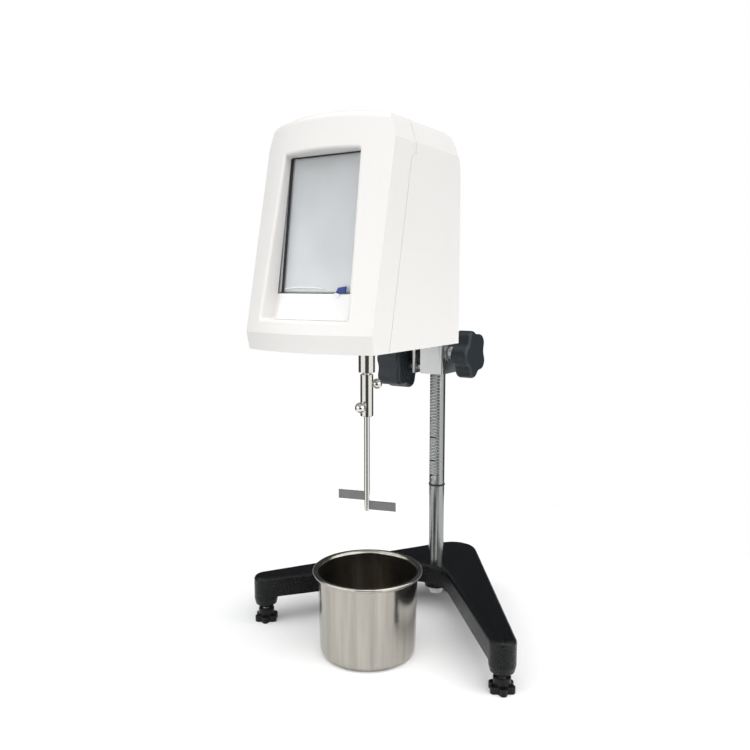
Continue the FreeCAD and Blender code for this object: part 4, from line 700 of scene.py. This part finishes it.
class Window:
    """Places on the leaning cover glass, from its lower edge in the middle of the window."""

    HALF = 35.0 * MM
    BELOW_GLASS = 0.6 * MM
    HIDDEN_TOP = 4.0 * MM
    GLASS = 1.1 * MM

    def __init__(self):
        low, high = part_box("touch_glass")
        self.lean = (high.y - self.GLASS - low.y) / (high.z - low.z)
        self.foot = Vector((0, low.y - self.lean * self.BELOW_GLASS, low.z - self.BELOW_GLASS))
        self.height = high.z - self.HIDDEN_TOP - self.foot.z
        self.outward = Vector((0, -1, self.lean)).normalized()

    def at(self, x, up, out=0.0):
        """Point at a width and height on the glass, in front of it by a distance."""
        return self.foot + Vector((x, self.lean * up, up)) + self.outward * out


class VISCO_OT_screen_border(bpy.types.Operator):
    """Black border printed round the edge of the cover glass, widened at the left as a painted shadow along
    that edge
    """

    bl_idname = "visco.screen_border"
    bl_label = "Screen border"

    INSET = 0.05 * MM
    BOTTOM = 0.7 * MM
    PROUD = 0.16 * MM
    THICK = 0.1 * MM

    def execute(self, context):
        look = context.scene.viscometer
        window = Window()
        edge, top = window.HALF - self.INSET, window.height - self.INSET
        # The left rail is wider: printed border and painted shadow together.
        left, right, under = look.border_and_shadow_left - edge, edge - look.border_right, top - look.border_top
        rails = (
            ((edge, self.BOTTOM), (edge, top), (right, under), (right, self.BOTTOM)),
            ((-edge, self.BOTTOM), (-edge, top), (left, under), (left, self.BOTTOM)),
            ((edge, top), (-edge, top), (left, under), (right, under)),
        )
        work = bmesh.new()
        for rail in rails:
            work.faces.new([work.verts.new(window.at(x, up, self.PROUD)) for x, up in rail])
        bmesh.ops.remove_doubles(work, verts=work.verts, dist=WELD)
        bmesh.ops.recalc_face_normals(work, faces=work.faces)
        bmesh.ops.solidify(work, geom=work.faces[:], thickness=self.THICK)
        finish_piece("screen_border", work, "border", "head", smooth=False)
        return {"FINISHED"}


class VISCO_OT_film_edge(bpy.types.Operator):
    """Curved lower edge of the clear film that protects the screen, drawn near white as a painted highlight
    along the edge
    """

    bl_idname = "visco.film_edge"
    bl_label = "Film edge"

    CROWN = (-12 * MM, 5.3 * MM, 0.35 * MM)
    RADIUS = 170 * MM
    WIDTH = 0.9 * MM
    THICK = 0.08 * MM
    SWEEP = math.radians(13.0)

    def execute(self, context):
        window = Window()
        crown = window.at(*self.CROWN)
        down = (window.at(0, 0) - window.at(0, 1 * MM)).normalized()
        centre = crown + down * self.RADIUS
        work = bmesh.new()
        ends = [work.verts.new(crown), work.verts.new(crown + down * self.WIDTH)]
        start = [work.edges.new(ends)]
        back = Matrix.Rotation(self.SWEEP / 2, 3, window.outward)
        bmesh.ops.rotate(work, verts=ends, cent=centre, matrix=back)
        bmesh.ops.spin(
            work, geom=ends + start, cent=centre, axis=window.outward, angle=-self.SWEEP,
            steps=24, use_merge=False,
        )
        bmesh.ops.solidify(work, geom=work.faces[:], thickness=self.THICK)
        finish_piece("film_edge", work, "film", "head")
        return {"FINISHED"}


class VISCO_OT_film_tab(bpy.types.Operator):
    """Plain pull tab of the protective film, curled up at the screen's lower right corner"""

    bl_idname = "visco.film_tab"
    bl_label = "Film tab"

    # Corners in mm: across, up and out from the glass.
    BLUE = ((19.1, -0.7, 1.0), (29.8, 0.2, 1.2), (31.0, 5.5, 2.6), (22.7, 4.4, 2.0))
    WHITE = ((18.6, 0.3, 0.9), (24.6, 0.2, 0.9), (23.9, -3.6, 1.3), (21.4, -3.3, 1.3))
    CURL_LENGTH = 3.2 * MM
    THICK = 0.15 * MM

    def execute(self, context):
        self.flap("film_tab", self.BLUE, "tab", 0.5 * MM)
        self.flap("film_tab_foot", self.WHITE, "label", 0.25 * MM)
        return {"FINISHED"}

    def flap(self, name, corners, finish, curl):
        """One curled sheet of four corners."""
        window = Window()
        work = bmesh.new()
        work.faces.new([work.verts.new(window.at(x * MM, up * MM, out * MM)) for x, up, out in corners])
        bmesh.ops.subdivide_edges(work, edges=work.edges, cuts=5, use_grid_fill=True)
        centre = sum((v.co for v in work.verts), Vector()) / len(work.verts)
        for v in work.verts:
            v.co += window.outward * curl * math.cos((v.co.x - centre.x) / self.CURL_LENGTH)
        bmesh.ops.solidify(work, geom=work.faces[:], thickness=self.THICK)
        finish_piece(name, work, finish, "head")


class VISCO_OT_foot_threads(bpy.types.Operator):
    """Threads on the three levelling screws, between the star knobs and the bosses"""

    bl_idname = "visco.foot_threads"
    bl_label = "Foot threads"

    ROOT = 3.9 * MM
    CREST = 4.4 * MM
    INTO_STAR = 0.3 * MM
    BOSS_AIR = 0.1 * MM

    def execute(self, context):
        pitch = context.scene.viscometer.thread_pitch
        low, high = STAR_TOP - self.INTO_STAR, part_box("base_casting")[0].z - self.BOSS_AIR
        for side in SIDES:
            axis = middle("foot_stud_" + side)
            axis.z = 0
            work = helix_thread(axis, low, high, self.ROOT, self.CREST, pitch)
            finish_piece("foot_thread_" + side, work, "polished", "foot_" + side)
        return {"FINISHED"}


class VISCO_OT_studio(bpy.types.Operator):
    """Table top, diffusers, light panels and the camera at the photograph's view"""

    bl_idname = "visco.studio"
    bl_label = "Studio"

    # Directions in degrees: round from +X, and above the horizon.
    FRONT, SIDE, OVERHEAD = (-120, 42), (-8, 42), (-60, 85)
    FRONT_PANEL, SIDE_PANEL = (-114, 0), (5, 0)
    FRONT_PANEL_WIDTH, SIDE_PANEL_WIDTH, PANEL_HEIGHT = 2.0, 2.2, 1.5
    LAMP_DISTANCE, PANEL_DISTANCE = 3, 1.6
    SOFTNESS = math.radians(85)
    SENSOR = 36.0
    CLIP = (0.02, 50)
    PITCH, YAW = math.radians(6.84), math.radians(31.98)
    CAMERA_FROM_SPINDLE = (357.08 * MM, -558.1 * MM)
    CAMERA_HEIGHT = 343.64 * MM

    def execute(self, context):
        look = context.scene.viscometer_studio
        context.scene.view_settings.view_transform = "Standard"
        self.table(look)
        self.diffuser("front_diffuser", self.FRONT, look.front)
        self.diffuser("side_diffuser", self.SIDE, look.side)
        self.diffuser("overhead_diffuser", self.OVERHEAD, look.sky)
        self.light_panel("front_panel", self.FRONT_PANEL, self.FRONT_PANEL_WIDTH, look.panel)
        self.light_panel("side_panel", self.SIDE_PANEL, self.SIDE_PANEL_WIDTH, look.panel)
        self.room(context, look)
        self.camera(context, look)
        return {"FINISHED"}

    def table(self, look):
        """Round white card under the object."""
        work = bmesh.new()
        bmesh.ops.create_circle(work, cap_ends=True, segments=128, radius=look.table_radius)
        mesh = bpy.data.meshes.new("table_top")
        work.to_mesh(mesh)
        work.free()
        table = bpy.data.objects.new("table_top", mesh)
        bpy.context.scene.collection.objects.link(table)
        f = Finish("table_card", Roughness=0.6, Specular_IOR_Level=0.2)
        f.set("Base Color", f.mix(f.noise(0.4, 2.0), shade(look.table_colour, 0.99), look.table_colour))
        table.data.materials.append(f.material)

    def diffuser(self, name, direction, strength):
        """Very wide soft light that falls evenly on everything."""
        data = bpy.data.lights.new(name, "SUN")
        data.energy = strength
        data.angle = self.SOFTNESS
        self.hang(name, data, direction, self.LAMP_DISTANCE)

    def light_panel(self, name, direction, width, brightness):
        """Standing panel beside the table: what the polished metal mirrors."""
        data = bpy.data.lights.new(name, "AREA")
        data.shape = "RECTANGLE"
        data.size, data.size_y = width, self.PANEL_HEIGHT
        data.energy = brightness * math.pi * data.size * data.size_y
        self.hang(name, data, direction, self.PANEL_DISTANCE)

    def hang(self, name, data, direction, distance):
        """Puts a light in a direction from the origin, facing it, unseen by the camera."""
        azimuth, height = (math.radians(angle) for angle in direction)
        flat = math.cos(height)
        place = Vector((math.cos(azimuth) * flat, math.sin(azimuth) * flat, math.sin(height))) * distance
        lamp = bpy.data.objects.new(name, data)
        bpy.context.scene.collection.objects.link(lamp)
        lamp.location = place
        lamp.rotation_mode = "QUATERNION"
        lamp.rotation_quaternion = (-place).to_track_quat("-Z", "Y")
        lamp.visible_camera = False

    def room(self, context, look):
        """Dim room for light and reflections, plain white behind the picture."""
        world = bpy.data.worlds.new("studio")
        world.use_nodes = True
        tree = world.node_tree
        tree.nodes.clear()
        seen = tree.nodes.new("ShaderNodeLightPath")
        mixed = tree.nodes.new("ShaderNodeMixShader")
        output = tree.nodes.new("ShaderNodeOutputWorld")
        tree.links.new(seen.outputs["Is Camera Ray"], mixed.inputs[0])
        for slot, colour, strength in ((1, (0.93, 0.96, 1.0, 1.0), look.room), (2, (1.0, 1.0, 1.0, 1.0), 1.0)):
            background = tree.nodes.new("ShaderNodeBackground")
            background.inputs["Color"].default_value = colour
            background.inputs["Strength"].default_value = strength
            tree.links.new(background.outputs[0], mixed.inputs[slot])
        tree.links.new(mixed.outputs[0], output.inputs[0])
        context.scene.world = world

    def camera(self, context, look):
        """Camera at the photograph's view."""
        data = bpy.data.cameras.new("photo_view")
        data.sensor_width = self.SENSOR
        data.lens = look.lens
        data.clip_start, data.clip_end = self.CLIP
        camera = bpy.data.objects.new("photo_view", data)
        context.scene.collection.objects.link(camera)
        flat = math.cos(self.PITCH)
        forward = Vector((-math.sin(self.YAW) * flat, math.cos(self.YAW) * flat, -math.sin(self.PITCH)))
        across, away = self.CAMERA_FROM_SPINDLE
        camera.location = (SPINDLE.x + across, SPINDLE.y + away, self.CAMERA_HEIGHT)
        camera.rotation_mode = "QUATERNION"
        camera.rotation_quaternion = forward.to_track_quat("-Z", "Y")
        context.scene.camera = camera


class VISCO_PT_panel(bpy.types.Panel):
    """Lists the steps in the sidebar"""

    bl_idname = "VISCO_PT_panel"
    bl_label = "Viscometer"
    bl_space_type = "VIEW_3D"
    bl_region_type = "UI"
    bl_category = "Viscometer"

    def draw(self, context):
        for step in STEPS:
            self.layout.operator(step.bl_idname)
        for settings in (context.scene.viscometer, context.scene.viscometer_studio):
            for name in settings.bl_rna.properties.keys():
                if name not in ("rna_type", "name"):
                    self.layout.prop(settings, name)


STEPS = (
    VISCO_OT_finishes,
    VISCO_OT_hand_knobs,
    VISCO_OT_levelling_knobs,
    VISCO_OT_stop_ring,
    VISCO_OT_beaker,
    VISCO_OT_carriage,
    VISCO_OT_screen_border,
    VISCO_OT_film_edge,
    VISCO_OT_film_tab,
    VISCO_OT_foot_threads,
    VISCO_OT_studio,
)
CLASSES = (ViscometerLook, StudioLook, *STEPS, VISCO_PT_panel)


def register():
    for made in CLASSES:
        bpy.utils.register_class(made)
    bpy.types.Scene.viscometer = bpy.props.PointerProperty(type=ViscometerLook)
    bpy.types.Scene.viscometer_studio = bpy.props.PointerProperty(type=StudioLook)


def unregister():
    del bpy.types.Scene.viscometer_studio
    del bpy.types.Scene.viscometer
    for made in reversed(CLASSES):
        bpy.utils.unregister_class(made)


def main():
    register()
    bpy.ops.visco.finishes()
    bpy.ops.visco.hand_knobs()
    bpy.ops.visco.levelling_knobs()
    bpy.ops.visco.stop_ring()
    bpy.ops.visco.beaker()
    bpy.ops.visco.carriage()
    bpy.ops.visco.screen_border()
    bpy.ops.visco.film_edge()
    bpy.ops.visco.film_tab()
    bpy.ops.visco.foot_threads()
    bpy.ops.visco.studio()


if __name__ == "__main__":
    main()
